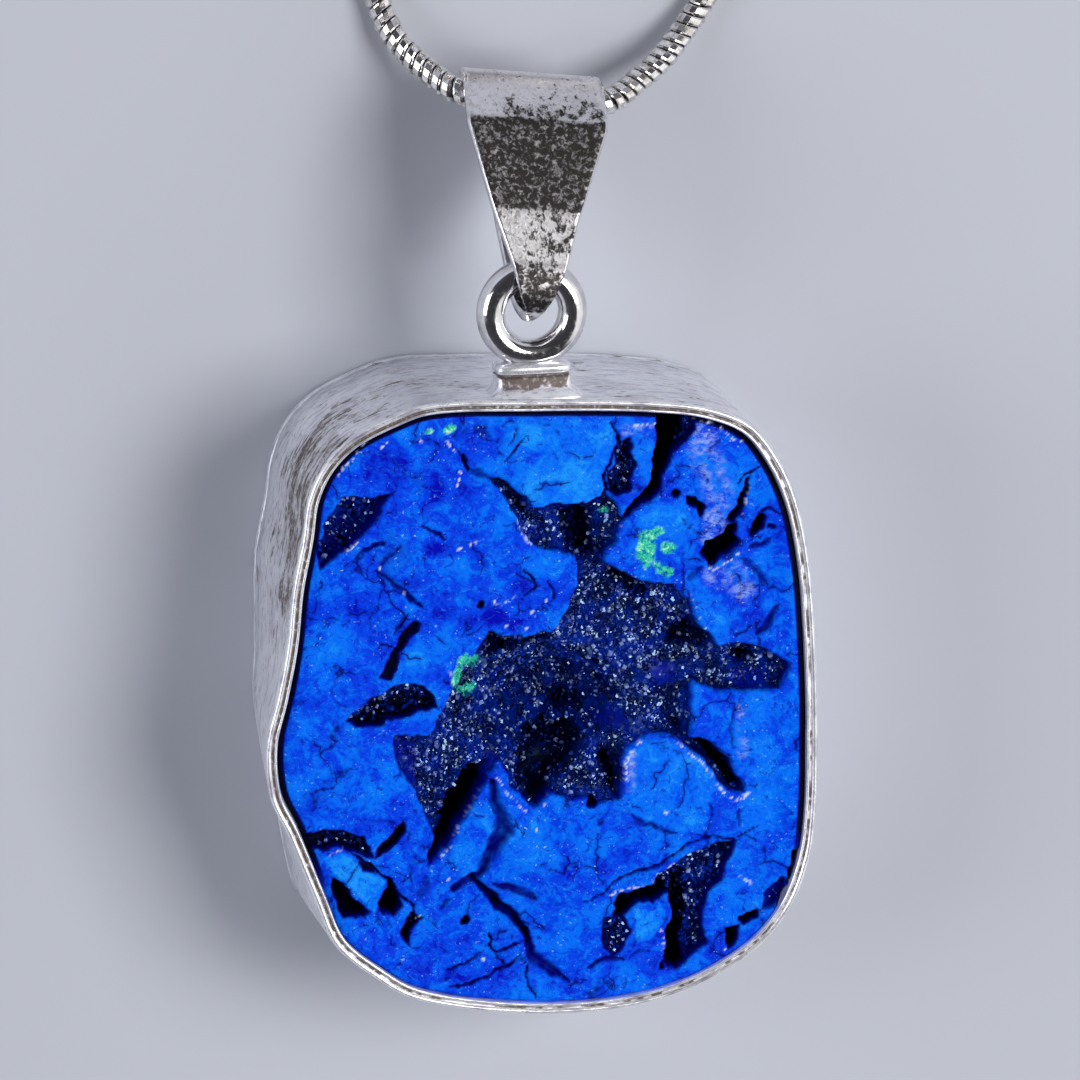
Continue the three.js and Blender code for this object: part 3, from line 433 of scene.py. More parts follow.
def lattice_noise(x, y, scale, seed):
    """Smooth random values from -1 to 1 that change over about scale millimetres."""
    size = 97
    knots = np.random.default_rng(seed).uniform(-1, 1, (size, size))
    u = x / scale + size
    v = y / scale + size
    i = np.floor(u).astype(int)
    j = np.floor(v).astype(int)
    s = smoothstep(0, 1, u - i)
    t = smoothstep(0, 1, v - j)
    low = knots[i % size, j % size] * (1 - s) + knots[(i + 1) % size, j % size] * s
    high = knots[i % size, (j + 1) % size] * (1 - s) + knots[(i + 1) % size, (j + 1) % size] * s
    return low * (1 - t) + high * t


def layered_noise(x, y, scale, seed, layers=3):
    total = 0
    for layer in range(layers):
        total = total + lattice_noise(x, y, scale / 2 ** layer, seed + layer) / 2 ** layer
    return total


def uneven(x, y, kind):
    height, scale, seed = kind
    return height * layered_noise(x, y, scale, seed)


def segment_distance(x, y, start, end):
    """Distance from each place to one segment, and how far along it the nearest point is."""
    across = (end[0] - start[0], end[1] - start[1])
    length = max(across[0] ** 2 + across[1] ** 2, 1e-12)
    share = np.clip(((x - start[0]) * across[0] + (y - start[1]) * across[1]) / length, 0, 1)
    gap = np.hypot(x - start[0] - share * across[0], y - start[1] - share * across[1])
    return gap, share


def inside_distance(x, y, outline):
    """Distance to a closed outline, positive inside it and negative outside."""
    nearest = np.full(np.shape(x), np.inf)
    inside = np.zeros(np.shape(x), bool)
    following = list(outline[1:]) + [outline[0]]
    for start, end in zip(outline, following):
        nearest = np.minimum(nearest, segment_distance(x, y, start, end)[0])
        if start[1] != end[1]:
            crossing = (start[1] > y) != (end[1] > y)
            slope = (end[0] - start[0]) / (end[1] - start[1])
            inside ^= crossing & (x < start[0] + slope * (y - start[1]))
    return np.where(inside, nearest, -nearest)


def route_gap(x, y, route):
    """Distance to a route, and how far along the route the nearest point is, from 0 to 1."""
    nearest = np.full(np.shape(x), np.inf)
    place = np.zeros(np.shape(x))
    count = len(route) - 1
    for index in range(count):
        gap, share = segment_distance(x, y, route[index], route[index + 1])
        closer = gap < nearest
        nearest = np.where(closer, gap, nearest)
        place = np.where(closer, (index + share) / count, place)
    return nearest, place


def lean(points):
    """The lower left side of the setting leans inwards towards the back."""
    points = np.array(points, float)
    x, y, z = points.T
    above = 1 - smoothstep(LEAN_MIDDLE, LEAN_HIGH, y)
    below = smoothstep(LEAN_LOW, LEAN_MIDDLE, y)
    along = np.where(y > LEAN_MIDDLE, above, below)
    points[:, 0] = x + BACK_INSET * along * np.clip(-x / HALF_WIDTH, 0, 1) * (1 - z / BEZEL_DEPTH)
    return points


def inset(outline, distance):
    """A clockwise closed outline moved inwards."""
    along = np.roll(outline, -1, axis=0) - np.roll(outline, 1, axis=0)
    along /= np.linalg.norm(along, axis=1)[:, None]
    return outline + np.stack([along[:, 1], -along[:, 0]], axis=1) * distance


# Mesh helpers

def round_angles(count):
    return np.arange(count) * 2 * math.pi / count


def new_piece(name, points, faces, material, smooth=True):
    """A mesh object from points in millimetres."""
    mesh = bpy.data.meshes.new(name)
    mesh.from_pydata((np.array(points, float) * MM).tolist(), [], faces)
    mesh.materials.append(material)
    mesh.polygons.foreach_set("use_smooth", [smooth] * len(mesh.polygons))
    mesh.update()
    piece = bpy.data.objects.new(name, mesh)
    bpy.context.scene.collection.objects.link(piece)
    return piece


def store(piece, name, values):
    """A number at each of the piece's points, which its material can read."""
    attribute = piece.data.attributes.new(name, "FLOAT", "POINT")
    attribute.data.foreach_set("value", np.asarray(values, np.float32))


def grid_faces(rows, columns, close_rows=False):
    """Quads between neighbouring rows of points, of which each row closes on itself."""
    row = np.arange(rows if close_rows else rows - 1)
    a, b = np.meshgrid(row, np.arange(columns), indexing="ij")
    a_next = (a + 1) % rows
    b_next = (b + 1) % columns
    quads = np.stack([a * columns + b, a_next * columns + b,
                      a_next * columns + b_next, a * columns + b_next], axis=-1)
    return quads.reshape(-1, 4).tolist()


def capped_faces(rows, columns):
    """The faces of a tube of rows of points, with a lid on each end."""
    lids = [list(range(columns)), [rows * columns - 1 - k for k in range(columns)]]
    return grid_faces(rows, columns) + lids


def turned(faces):
    return [face[::-1] for face in faces]


def sweep_frames(path):
    """Directions along and across a path, carried along it without twisting."""
    along = np.gradient(path, axis=0)
    along /= np.linalg.norm(along, axis=1)[:, None]
    side = np.cross(along[0], (0.0, 0.0, 1.0))
    sides = []
    for direction in along:
        side = side - direction * (side @ direction)
        side = side / np.linalg.norm(side)
        sides.append(side)
    sides = np.array(sides)
    return along, sides, np.cross(sides, along)


def cells_inside(low, high, pitch, keep):
    """A grid of square cells of which keep(x, y) says which ones stay, at their centres."""
    xs = np.arange(low[0], high[0] + pitch, pitch)
    ys = np.arange(low[1], high[1] + pitch, pitch)
    x, y = np.meshgrid(xs, ys, indexing="ij")
    kept = np.zeros((len(xs) + 1, len(ys) + 1), bool)
    kept[1:-1, 1:-1] = keep(x[:-1, :-1] + pitch / 2, y[:-1, :-1] + pitch / 2)
    for _ in range(3):
        falling = kept[:-1, :-1] & kept[1:, 1:] & ~kept[1:, :-1] & ~kept[:-1, 1:]
        rising = ~kept[:-1, :-1] & ~kept[1:, 1:] & kept[1:, :-1] & kept[:-1, 1:]
        kept[:-1, :-1] &= ~falling
        kept[1:, :-1] &= ~rising
    number = np.arange(x.size).reshape(x.shape)
    i, j = np.nonzero(kept[1:-1, 1:-1])
    quads = np.stack([number[i, j], number[i + 1, j], number[i + 1, j + 1], number[i, j + 1]], axis=1)
    edges = []
    for side, (di, dj) in enumerate([(0, -1), (1, 0), (0, 1), (-1, 0)]):
        open_side = ~kept[i + 1 + di, j + 1 + dj]
        edges.append(quads[open_side][:, [side, (side + 1) % 4]])
    edges = np.vstack(edges)
    used, quads_packed = np.unique(quads, return_inverse=True)
    renumber = np.full(x.size, -1)
    renumber[used] = np.arange(len(used))
    places = np.stack([x.ravel()[used], y.ravel()[used]], axis=1)
    return places, quads_packed.reshape(-1, 4), renumber[edges]


def onto_outline(places, outline):
    """Each place moved to the nearest point of a closed outline."""
    best = np.full(len(places), np.inf)
    moved = places.copy()
    for start, end in zip(outline, np.roll(outline, -1, axis=0)):
        gap, share = segment_distance(places[:, 0], places[:, 1], start, end)
        closer = gap < best
        best = np.where(closer, gap, best)
        moved[closer] = (start + share[:, None] * (end - start))[closer]
    return moved


# Material helpers

def new_material(name, **surface):
    material = bpy.data.materials.new(name)
    material.use_nodes = True
    shader = material.node_tree.nodes["Principled BSDF"]
    for socket, value in surface.items():
        shader.inputs[socket.replace("_", " ")].default_value = value
    return material


def add_node(material, kind, inputs, **settings):
    """A node of a material or world. An input is a plain value or another node's output."""
    node = material.node_tree.nodes.new(kind)
    for name, value in settings.items():
        setattr(node, name, value)
    for key, value in inputs.items():
        if isinstance(value, bpy.types.NodeSocket):
            material.node_tree.links.new(value, node.inputs[key])
        else:
            node.inputs[key].default_value = value
    return node


def to_surface(material, socket, value):
    shader = material.node_tree.nodes["Principled BSDF"]
    material.node_tree.links.new(value, shader.inputs[socket])


def place(material, stretch=(1, 1, 1), turn=(0, 0, 0)):
    """The place on the object in millimetres, which may be stretched and turned for streaks."""
    coordinates = add_node(material, "ShaderNodeTexCoord", {})
    mapping = add_node(material, "ShaderNodeMapping", {
        "Vector": coordinates.outputs["Object"],
        "Rotation": turn,
        "Scale": [share / MM for share in stretch],
    })
    return mapping.outputs["Vector"]


def noise(material, where, size, detail=3, rough=0.5, distort=0):
    """Values from 0 to 1 that change over about size millimetres."""
    return add_node(material, "ShaderNodeTexNoise", {
        "Vector": where, "Scale": 1 / size, "Detail": detail,
        "Roughness": rough, "Distortion": distort,
    }).outputs["Fac"]


def spread(material, value, low, high, to_low=0.0, to_high=1.0):
    """Value rescaled smoothly from one range to another."""
    return add_node(material, "ShaderNodeMapRange", {
        "Value": value, "From Min": low, "From Max": high, "To Min": to_low, "To Max": to_high,
    }, interpolation_type="SMOOTHSTEP").outputs["Result"]


def attribute(material, name):
    return add_node(material, "ShaderNodeAttribute", {}, attribute_name=name).outputs["Fac"]


def math_node(material, operation, first, second):
    return add_node(material, "ShaderNodeMath", {0: first, 1: second}, operation=operation).outputs[0]


def plus(material, first, second):
    return math_node(material, "ADD", first, second)


def minus(material, first, second):
    return math_node(material, "SUBTRACT", first, second)


def times(material, first, second):
    return math_node(material, "MULTIPLY", first, second)


def mixed(material, factor, first, second):
    """Two colours mixed by a factor."""
    colours = [c if isinstance(c, bpy.types.NodeSocket) else (*c, 1) for c in (first, second)]
    return add_node(material, "ShaderNodeMix", {0: factor, 6: colours[0], 7: colours[1]},
                    data_type="RGBA").outputs[2]


def add_bump(material, height, strength, distance):
    bump = add_node(material, "ShaderNodeBump", {
        "Height": height, "Strength": strength, "Distance": distance * MM,
    })
    to_surface(material, "Normal", bump.outputs["Normal"])


# Materials

def azurite_material():
    """Four steps of blue, broken by dark mottling, wisps, hairline cracks with shade painted along them,
    flecks, painted sheen, painted glints, and the shade painted from the dark attribute.
    """
    m = new_material("azurite", Specular_IOR_Level=0.03, IOR=1.6)
    where = place(m)
    middle = noise(m, where, 0.75, 5, 0.65, 0.9)
    fine = noise(m, where, 0.2, 4, 0.65)
    light = times(m, noise(m, where, 2.4, 6, 0.62, 0.5), 0.45)
    for part, weight in ((middle, 0.40), (fine, 0.15), (attribute(m, "tone"), 0.055)):
        light = plus(m, light, times(m, part, weight))
    colour = mixed(m, spread(m, light, 0.35, 0.47), (0.0, 0.002, 0.48), (0.0, 0.052, 0.82))
    colour = mixed(m, spread(m, light, 0.46, 0.56), colour, (0.0, 0.155, 0.95))
    colour = mixed(m, spread(m, light, 0.56, 0.70), colour, (0.01, 0.32, 1.0))
    mottle = spread(m, noise(m, where, 0.55, 5, 0.7, 1.4), 0.57, 0.68)
    wisps = noise(m, place(m, (0.8, 1.9, 1.0), (0, 0, 0.9)), 0.5, 6, 0.75, 1.2)
    bend = add_node(m, "ShaderNodeTexNoise", {"Vector": where, "Scale": 0.9, "Detail": 6})
    bent = add_node(m, "ShaderNodeVectorMath", {0: bend.outputs["Color"], 1: (2.2, 2.2, 0.0), 2: where},
                    operation="MULTIPLY_ADD").outputs["Vector"]
    blocks = add_node(m, "ShaderNodeTexVoronoi", {"Vector": bent, "Scale": 0.40},
                      feature="DISTANCE_TO_EDGE").outputs["Distance"]
    # Hairline cracks: a shallow groove in the bump, with shade painted dark along it
    cracked = spread(m, noise(m, where, 1.7, 3, 0.6), 0.49, 0.60)
    crack_share = times(m, cracked, spread(m, blocks, 0.0, 0.03, 0.9, 0.0))
    flecks = spread(m, noise(m, where, 0.15, 2, 0.5), 0.66, 0.74)
    streaks = noise(m, place(m, (0.8, 1.5, 1.0), (0, 0, 0.25)), 0.35, 5, 0.7, 0.6)
    dark = attribute(m, "dark")
    for share, over in (
        (times(m, mottle, 0.8), (0.0, 0.002, 0.33)),
        (times(m, spread(m, wisps, 0.55, 0.72), 0.55), (0.03, 0.36, 1.0)),
        (times(m, cracked, spread(m, blocks, 0.0, 0.13, 0.5, 0.0)), (0.0, 0.012, 0.55)),
        (crack_share, (0.0, 0.001, 0.16)),
        (times(m, flecks, spread(m, noise(m, where, 1.4, 4, 0.6), 0.44, 0.58)), (0.30, 0.55, 1.0)),
        # Painted sheen: lavender streaks standing in for a reflection
        (times(m, attribute(m, "sheen"), spread(m, streaks, 0.38, 0.66)), (0.26, 0.38, 0.92)),
        # The dark attribute: shade painted into the hollow, holes, pockets, cuts and pits, and the
        # painted shadow along the rim
        (spread(m, dark, 0.0, 0.55), (0.0, 0.001, 0.20)),
        (spread(m, dark, 0.5, 0.95), (0.0, 0.0005, 0.010)),
        # Painted glints: pale colour for the bright edges and specks
        (attribute(m, "glint"), (0.62, 0.74, 1.0)),
    ):
        colour = mixed(m, share, colour, over)
    crusty = noise(m, where, 0.28, 4, 0.7, 0.8)
    green = mixed(m, spread(m, crusty, 0.35, 0.55), (0.0, 0.18, 0.26), (0.05, 0.66, 0.42))
    green = mixed(m, spread(m, crusty, 0.54, 0.66), green, (0.50, 0.92, 0.70))
    green_share = times(m, attribute(m, "green"), spread(m, crusty, 0.28, 0.42))
    to_surface(m, "Base Color", mixed(m, green_share, colour, green))
    to_surface(m, "Roughness", spread(m, fine, 0.35, 0.7, 0.42, 0.62))
    add_bump(m, minus(m, plus(m, times(m, middle, 1.5), fine), crack_share), 0.7, 0.09)
    return m


def druse_material():
    m = new_material("druse", IOR=1.73, Specular_Tint=(0.5, 0.75, 1.0, 1.0))
    bare = attribute(m, "bare")
    # Near black in the holes: painted shade, which also takes away the shine
    hole_shade = attribute(m, "hole_shade")
    shiny = minus(m, 1.0, math_node(m, "MAXIMUM", hole_shade, bare))
    to_surface(m, "Specular IOR Level", times(m, shiny, 0.62))
    to_surface(m, "Roughness", spread(m, shiny, 0.0, 1.0, 0.45, 0.1))
    haze = noise(m, place(m), 1.1, 4, 0.6)
    colour = mixed(m, spread(m, haze, 0.38, 0.62), (0.0, 0.004, 0.07), (0.0, 0.020, 0.33))
    # Pale crystal tips are painted glints
    for share, over in ((bare, (0.0, 0.003, 0.30)), (attribute(m, "pale"), (0.36, 0.50, 1.0)),
                        (attribute(m, "green"), (0.04, 0.60, 0.42)), (hole_shade, (0.0, 0.0005, 0.006))):
        colour = mixed(m, share, colour, over)
    to_surface(m, "Base Color", colour)
    return m


def silver_material(name, dark, light, tarnish_shade_colour, stretch, turn, tarnish_shade_range, rough, grain, metal):
    """Worn silver: brushed streaks, brown-black tarnished patches, and dents in its polish. The dark
    attribute darkens it further: tarnished places on some pieces, painted shade on others.
    """
    m = new_material(name, Metallic=metal)
    where = place(m)
    polish = attribute(m, "polish")
    streaks = noise(m, place(m, stretch, turn), 0.5, 5, 0.7, 0.3)
    cloud = noise(m, where, 2.2, 5, 0.65, 0.4)
    speck = spread(m, noise(m, where, grain, 4, 0.65, 0.5), 0.28, 0.52, 0.35, 1.0)
    shade = plus(m, times(m, streaks, 0.6), times(m, cloud, 0.4))
    # Where the dark colour goes: tarnished patches from the streaks and cloud, and the dark attribute,
    # which holds tarnished places and painted shade
    wear_and_shade = plus(m, shade, times(m, attribute(m, "dark"), 0.25))
    wear_and_shade = minus(m, wear_and_shade, times(m, polish, 0.3))
    tarnish_shade_share = times(m, spread(m, wear_and_shade, *tarnish_shade_range), speck)
    colour = mixed(m, spread(m, streaks, 0.32, 0.56), dark, light)
    to_surface(m, "Base Color", mixed(m, tarnish_shade_share, colour, tarnish_shade_colour))
    dull = plus(m, spread(m, shade, 0.35, 0.7, *rough), times(m, tarnish_shade_share, 0.2))
    to_surface(m, "Roughness", minus(m, dull, times(m, polish, 0.2)))
    add_bump(m, streaks, 0.35, 0.03)
    return m


def bright_silver_material(name):
    m = new_material(name, Metallic=1.0)
    where = place(m)
    scratches = noise(m, where, 0.25, 4, 0.7)
    cloud = noise(m, where, 0.9, 4, 0.6)
    colour = mixed(m, spread(m, cloud, 0.35, 0.7), (0.86, 0.85, 0.87), (0.72, 0.69, 0.68))
    to_surface(m, "Base Color", colour)
    to_surface(m, "Roughness", spread(m, scratches, 0.4, 0.7, 0.07, 0.2))
    add_bump(m, scratches, 0.12, 0.01)
    return m


def floor_material():
    m = new_material("floor_matte", Roughness=0.9, Specular_IOR_Level=0.1)
    cloud = noise(m, place(m), 60, 2)
    to_surface(m, "Base Color", mixed(m, cloud, (0.50, 0.52, 0.58), (0.56, 0.58, 0.64)))
    return m


# Camera

def camera():
    data = bpy.data.cameras.new("camera")
    data.lens = CAMERA_LENS
    data.sensor_width = CAMERA_SENSOR
    data.clip_start = 0.01
    data.clip_end = 10
    made = bpy.data.objects.new("camera", data)
    turn = Matrix((CAMERA_RIGHT, CAMERA_UP, CAMERA_BACK)).transposed().normalized()
    where = (CAMERA_TARGET + CAMERA_BACK * CAMERA_DISTANCE) * MM
    made.matrix_world = Matrix.Translation(where) @ turn.to_4x4()
    bpy.context.scene.collection.objects.link(made)
    bpy.context.scene.camera = made


# Chain

def coil_path():
    """Round and round inwards on the lower layer, then outwards on the upper one."""
    spacing = 2 * CHAIN_RADIUS
    outer = COIL_MEAN_RADIUS + spacing * (TURNS_ACROSS - 1) / 2
    inner = COIL_MEAN_RADIUS - spacing * (TURNS_ACROSS - 1) / 2
    low = CHAIN_RADIUS
    high = CHAIN_RADIUS + spacing
    first = COIL_START_ANGLE
    climb = first + TURNS_ACROSS * 360
    last = climb + TURNS_ACROSS * 360 + COIL_END_ANGLE
    angle = np.arange(first, last, COIL_STEP)
    inwards = linear_share(first + 180, climb - 180, angle)
    outwards = linear_share(climb + 180, last - 180, angle)
    radius = outer + (inner - outer) * inwards + (outer - inner) * outwards
    height = low + (high - low) * smoothstep(climb - 90, climb + 90, angle)
    turn = np.radians(angle)
    return np.stack([COIL_CENTRE[0] + radius * np.cos(turn),
                     COIL_CENTRE[1] + radius * np.sin(turn), height], axis=1)


def chain_path():
    return resample(spline([*RUN_ROUTE, *coil_path(), *RETURN_ROUTE], 8), LINK_PITCH)


def chain():
    """One tube of slanted, bevelled links, with shade painted dark into the gap between each and the
    next.
    """
    route = chain_path()
    along, side, up = sweep_frames(route)
    angle = round_angles(LINK_SIDES)
    rings = []
    gap = []
    for share, radius in LINK_PROFILE:
        lift = along * (share * LINK_PITCH)
        wide = radius * CHAIN_RADIUS
        ring = (route + lift)[:, None, :] \
            + side[:, None, :] * (np.cos(angle) * wide)[None, :, None] \
            + up[:, None, :] * (np.sin(angle) * wide)[None, :, None] \
            + along[:, None, :] * (np.cos(angle + SLANT_TURN) * LINK_SLANT)[None, :, None]
        rings.append(ring)
        gap.append(np.full((len(route), LINK_SIDES), 1.0 if radius < GAP_RADIUS else 0.0))
    points = np.stack(rings, axis=1).reshape(-1, 3)
    faces = capped_faces(len(points) // LINK_SIDES, LINK_SIDES)
    piece = new_piece("snake_chain", points, faces, chain_material(), smooth=False)
    store(piece, "dark", np.stack(gap, axis=1).reshape(-1))
    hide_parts("chain_run", "chain_return", "chain_coil")
    return piece, route


def chain_material():
    m = new_material("chain_silver", Metallic=1.0)
    where = place(m)
    speck = noise(m, where, 0.3, 3, 0.6)
    colour = mixed(m, spread(m, speck, 0.4, 0.7), (0.92, 0.90, 0.90), (0.55, 0.50, 0.44))
    # The gap between links is painted near black as shade
    colour = mixed(m, attribute(m, "dark"), colour, (0.02, 0.018, 0.015))
    to_surface(m, "Base Color", colour)
    to_surface(m, "Roughness", spread(m, speck, 0.4, 0.7, 0.12, 0.3))
    return m


# Stone and crust

def bowl_depth(x, y):
    reach = np.hypot((x - DEEP_CENTRE[0]) / DEEP_RADIUS[0], (y - DEEP_CENTRE[1]) / DEEP_RADIUS[1])
    return CRUST_RIM_DEPTH + CRUST_DROP * (1 - smoothstep(BOWL_START, BOWL_END, reach))


def roughened(x, y):
    """Places moved a little, so that drawn outlines come out ragged."""
    wx = x + uneven(x, y, RAGGED_ACROSS[0]) + uneven(x, y, RAGGED_ACROSS[1])
    wy = y + uneven(x, y, RAGGED_ALONG[0]) + uneven(x, y, RAGGED_ALONG[1])
    return wx, wy


def relief(x, y):
    """Depth of the stone below its face, how its places look, and how far in the hollow they are."""
    wx, wy = roughened(x, y)
    depth = uneven(x, y, SWELL) + uneven(x, y, FACE_GRIT)
    look = {name: np.zeros(x.shape) for name in ("dark", "druse", "lift", "hole_shade", "bare")}

    def raise_to(name, values):
        look[name] = np.maximum(look[name], values)

    for rise, lighter, outline in PLATES:
        inside = inside_distance(wx, wy, outline)
        depth -= rise * smoothstep(0.0, 0.15, inside)
        look["lift"] += lighter * smoothstep(-0.02, 0.1, inside)

    hollow = inside_distance(wx, wy, HOLLOW_OUTLINE)
    bowl = bowl_depth(x, y) + uneven(x, y, BOWL_SWELL)
    depth += bowl * (1 - np.exp(-np.clip(hollow, 0, None) / 0.28))
    raise_to("druse", smoothstep(0.0, 0.25, hollow))
    # Shade painted dark over the stone in the hollow, under its crust
    raise_to("dark", smoothstep(-0.05, 0.3, hollow))

    for extra, outline in HOLES:
        inside = inside_distance(wx, wy, outline)
        depth += extra * smoothstep(-0.1, 0.5, inside)
        # The holes are painted black as shade, on the stone and on the crust
        raise_to("hole_shade", 0.92 * smoothstep(-0.15, 0.3, inside))
    raise_to("dark", look["hole_shade"])

    for cut_depth, crystals, blackness, mouth in POCKETS:
        inside = inside_distance(wx, wy, mouth)
        depth = np.maximum(depth, cut_depth * (1 - np.exp(-np.clip(inside, 0, None) / 0.2)))
        # Shade painted dark inside the pocket
        raise_to("dark", blackness * smoothstep(-0.1, 0.15, inside))
        raise_to("druse", crystals * smoothstep(0.05, 0.2, inside))

    patchy = 0.85 + uneven(x, y, FISSURE_PATCHES)
    for width, cut_depth, blackness, route in FISSURES:
        gap, share = route_gap(wx, wy, route)
        half = 0.42 * width * (0.15 + 0.85 * np.sqrt(np.clip(4 * share * (1 - share), 0, 1)))
        depth = np.maximum(depth, cut_depth * np.clip(1.1 - gap / half, 0, 1) ** 0.7)
        # Shade painted dark along the cut
        raise_to("dark", blackness * patchy * smoothstep(1.6, 0.3, gap / half))

    for (px, py), (rx, ry), cut_depth in PITS:
        reach = np.hypot((wx - px) / rx, (wy - py) / ry)
        depth = np.maximum(depth, cut_depth * np.sqrt(np.clip(1 - reach * reach, 0, 1)))
        # Shade painted dark inside the pit
        raise_to("dark", smoothstep(1.2, 0.8, reach))
    look["bare"] = 0.7 * spots_at(x, y, BARE_PLACES)
    return depth, look, hollow


def glint_at(x, y):
    """How bright the painted glints along edges and the single painted specks are at each place."""
    wx, wy = roughened(x, y)
    broken = smoothstep(-0.1, 0.5, layered_noise(x, y, 0.13, 101))
    total = np.zeros(x.shape)
    for width, route in GLINTS:
        gap, _ = route_gap(wx, wy, route)
        total = np.maximum(total, broken * smoothstep(width * 0.55, width * 0.05, gap))
    for px, py in SPECKS:
        total = np.maximum(total, smoothstep(SPECK_RADIUS, 0.05, np.hypot(wx - px, wy - py)))
    return total


def sheen_at(x, y):
    total = np.zeros(x.shape)
    for width, route in SHEENS:
        gap, _ = route_gap(x, y, route)
        total = np.maximum(total, smoothstep(width * 0.65, width * 0.2, gap))
    return total * smoothstep(-0.9, 0.3, layered_noise(x, y, 0.5, 111))


def spots_at(x, y, spots):
    """How much of each place the listed soft spots cover, from 0 to 1."""
    total = np.zeros(x.shape)
    ragged = uneven(x, y, RAGGED_SPOTS)
    for (px, py), (rx, ry) in spots:
        reach = np.hypot((x - px) / rx, (y - py) / ry)
        total = np.maximum(total, smoothstep(1.05, 0.75, reach + ragged))
    return total


def tone_at(x, y):
    total = np.zeros(x.shape)
    ragged = uneven(x, y, RAGGED_TONES)
    for (px, py), (rx, ry), amount in TONES:
        reach = np.hypot((x - px) / rx, (y - py) / ry)
        share = 0.5 if amount < 0 else 1.0
        total = total + share * amount * smoothstep(1.5, 0.2, reach + ragged)
    return total


def stone(outline):
    """The whole stone: a fine grid for its face, and straight sides down to the back plate."""
    edge_line = inset(outline, WALL_THICKNESS + STONE_CLEARANCE)
    ring = [tuple(p) for p in edge_line[::3]]
    places, quads, edges = cells_inside(edge_line.min(axis=0), edge_line.max(axis=0), STONE_PITCH,
                                        lambda x, y: inside_distance(x, y, ring) > 0)
    border = np.unique(edges)
    places[border] = onto_outline(places[border], edge_line)
    x, y = places.T
    depth, look, hollow = relief(x, y)
    glint = glint_at(x, y) * smoothstep(0.5, 0.05, depth)
    rim = inside_distance(x, y, ring)
    shadow = smoothstep(0.34, 0.16, rim) * smoothstep(-9.5, -6.5, y)
    lower_right = LOWER_RIGHT_RISE * smoothstep(-4, 4, x - y)
    depth = depth + (EDGE_DROP - lower_right) * np.exp(-np.clip(rim, 0, None) / 0.16)
    depth = depth - lower_right * smoothstep(1.6, 0.2, rim) - 0.04 * glint
    crust = smoothstep(0.05, 0.2, hollow)
    top = lean(np.stack([x, y, FACE_LEVEL - depth - 0.12 * crust], axis=1))
    base = lean(np.column_stack([places[border], np.full(len(border), PLATE_THICKNESS)]))
    count = len(top)
    lower = np.full(count, -1)
    lower[border] = count + np.arange(len(border))
    middle = count + len(border)
    faces = quads.tolist()
    for a, b in edges.tolist():
        faces.append([b, a, int(lower[a]), int(lower[b])])
        faces.append([int(lower[b]), int(lower[a]), middle])
    piece = new_piece("azurite_face", np.vstack([top, base, [[0, 0, PLATE_THICKNESS]]]), faces,
                      azurite_material())
    looks = {"tone": 2 * tone_at(x, y) + 4 * look["lift"],
             "dark": np.maximum(look["dark"], shadow), "glint": glint,
             "sheen": sheen_at(x, y), "green": spots_at(x, y, MALACHITE)}
    for name, values in looks.items():
        store(piece, name, np.concatenate([values, np.zeros(len(border) + 1)]))
    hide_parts("azurite_stone")
    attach(piece, "pendant")


def crystal_points(centres, normals, random, size):
    """Small wedge-ended crystals: four base corners, four shoulders and a ridge of two."""
    count = len(centres)
    wide = size * random.uniform(0.55, 1.3, count)
    deep = wide * random.uniform(0.5, 1.0, count)
    tall = size * random.uniform(0.6, 2.0, count)
    local = np.zeros((count, 10, 3))
    for index, (sx, sy) in enumerate([(-1, -1), (1, -1), (1, 1), (-1, 1)]):
        local[:, index] = np.stack([sx * wide, sy * deep, -0.6 * size], axis=1)
        local[:, index + 4] = np.stack([sx * wide * 0.9, sy * deep * 0.9, tall], axis=1)
    for index, sx in ((8, -1), (9, 1)):
        local[:, index] = np.stack([sx * wide * 0.4, 0 * wide, tall + deep * 0.7], axis=1)
    tilt = normals + random.normal(0, 0.45, (count, 3))
    tilt /= np.linalg.norm(tilt, axis=1)[:, None]
    spin = random.normal(0, 1, (count, 3))
    side = np.cross(tilt, spin)
    side /= np.linalg.norm(side, axis=1)[:, None]
    axes = np.stack([side, np.cross(tilt, side), tilt], axis=1)
    return centres[:, None] + local @ axes


CRYSTAL_FACES = [(3, 2, 1, 0), (0, 1, 5, 4), (1, 2, 6, 5), (2, 3, 7, 6), (3, 0, 4, 7),
                 (4, 5, 9, 8), (6, 7, 8, 9), (5, 6, 9), (7, 4, 8)]


def surface_level(x, y):
    return FACE_LEVEL - relief(x, y)[0]


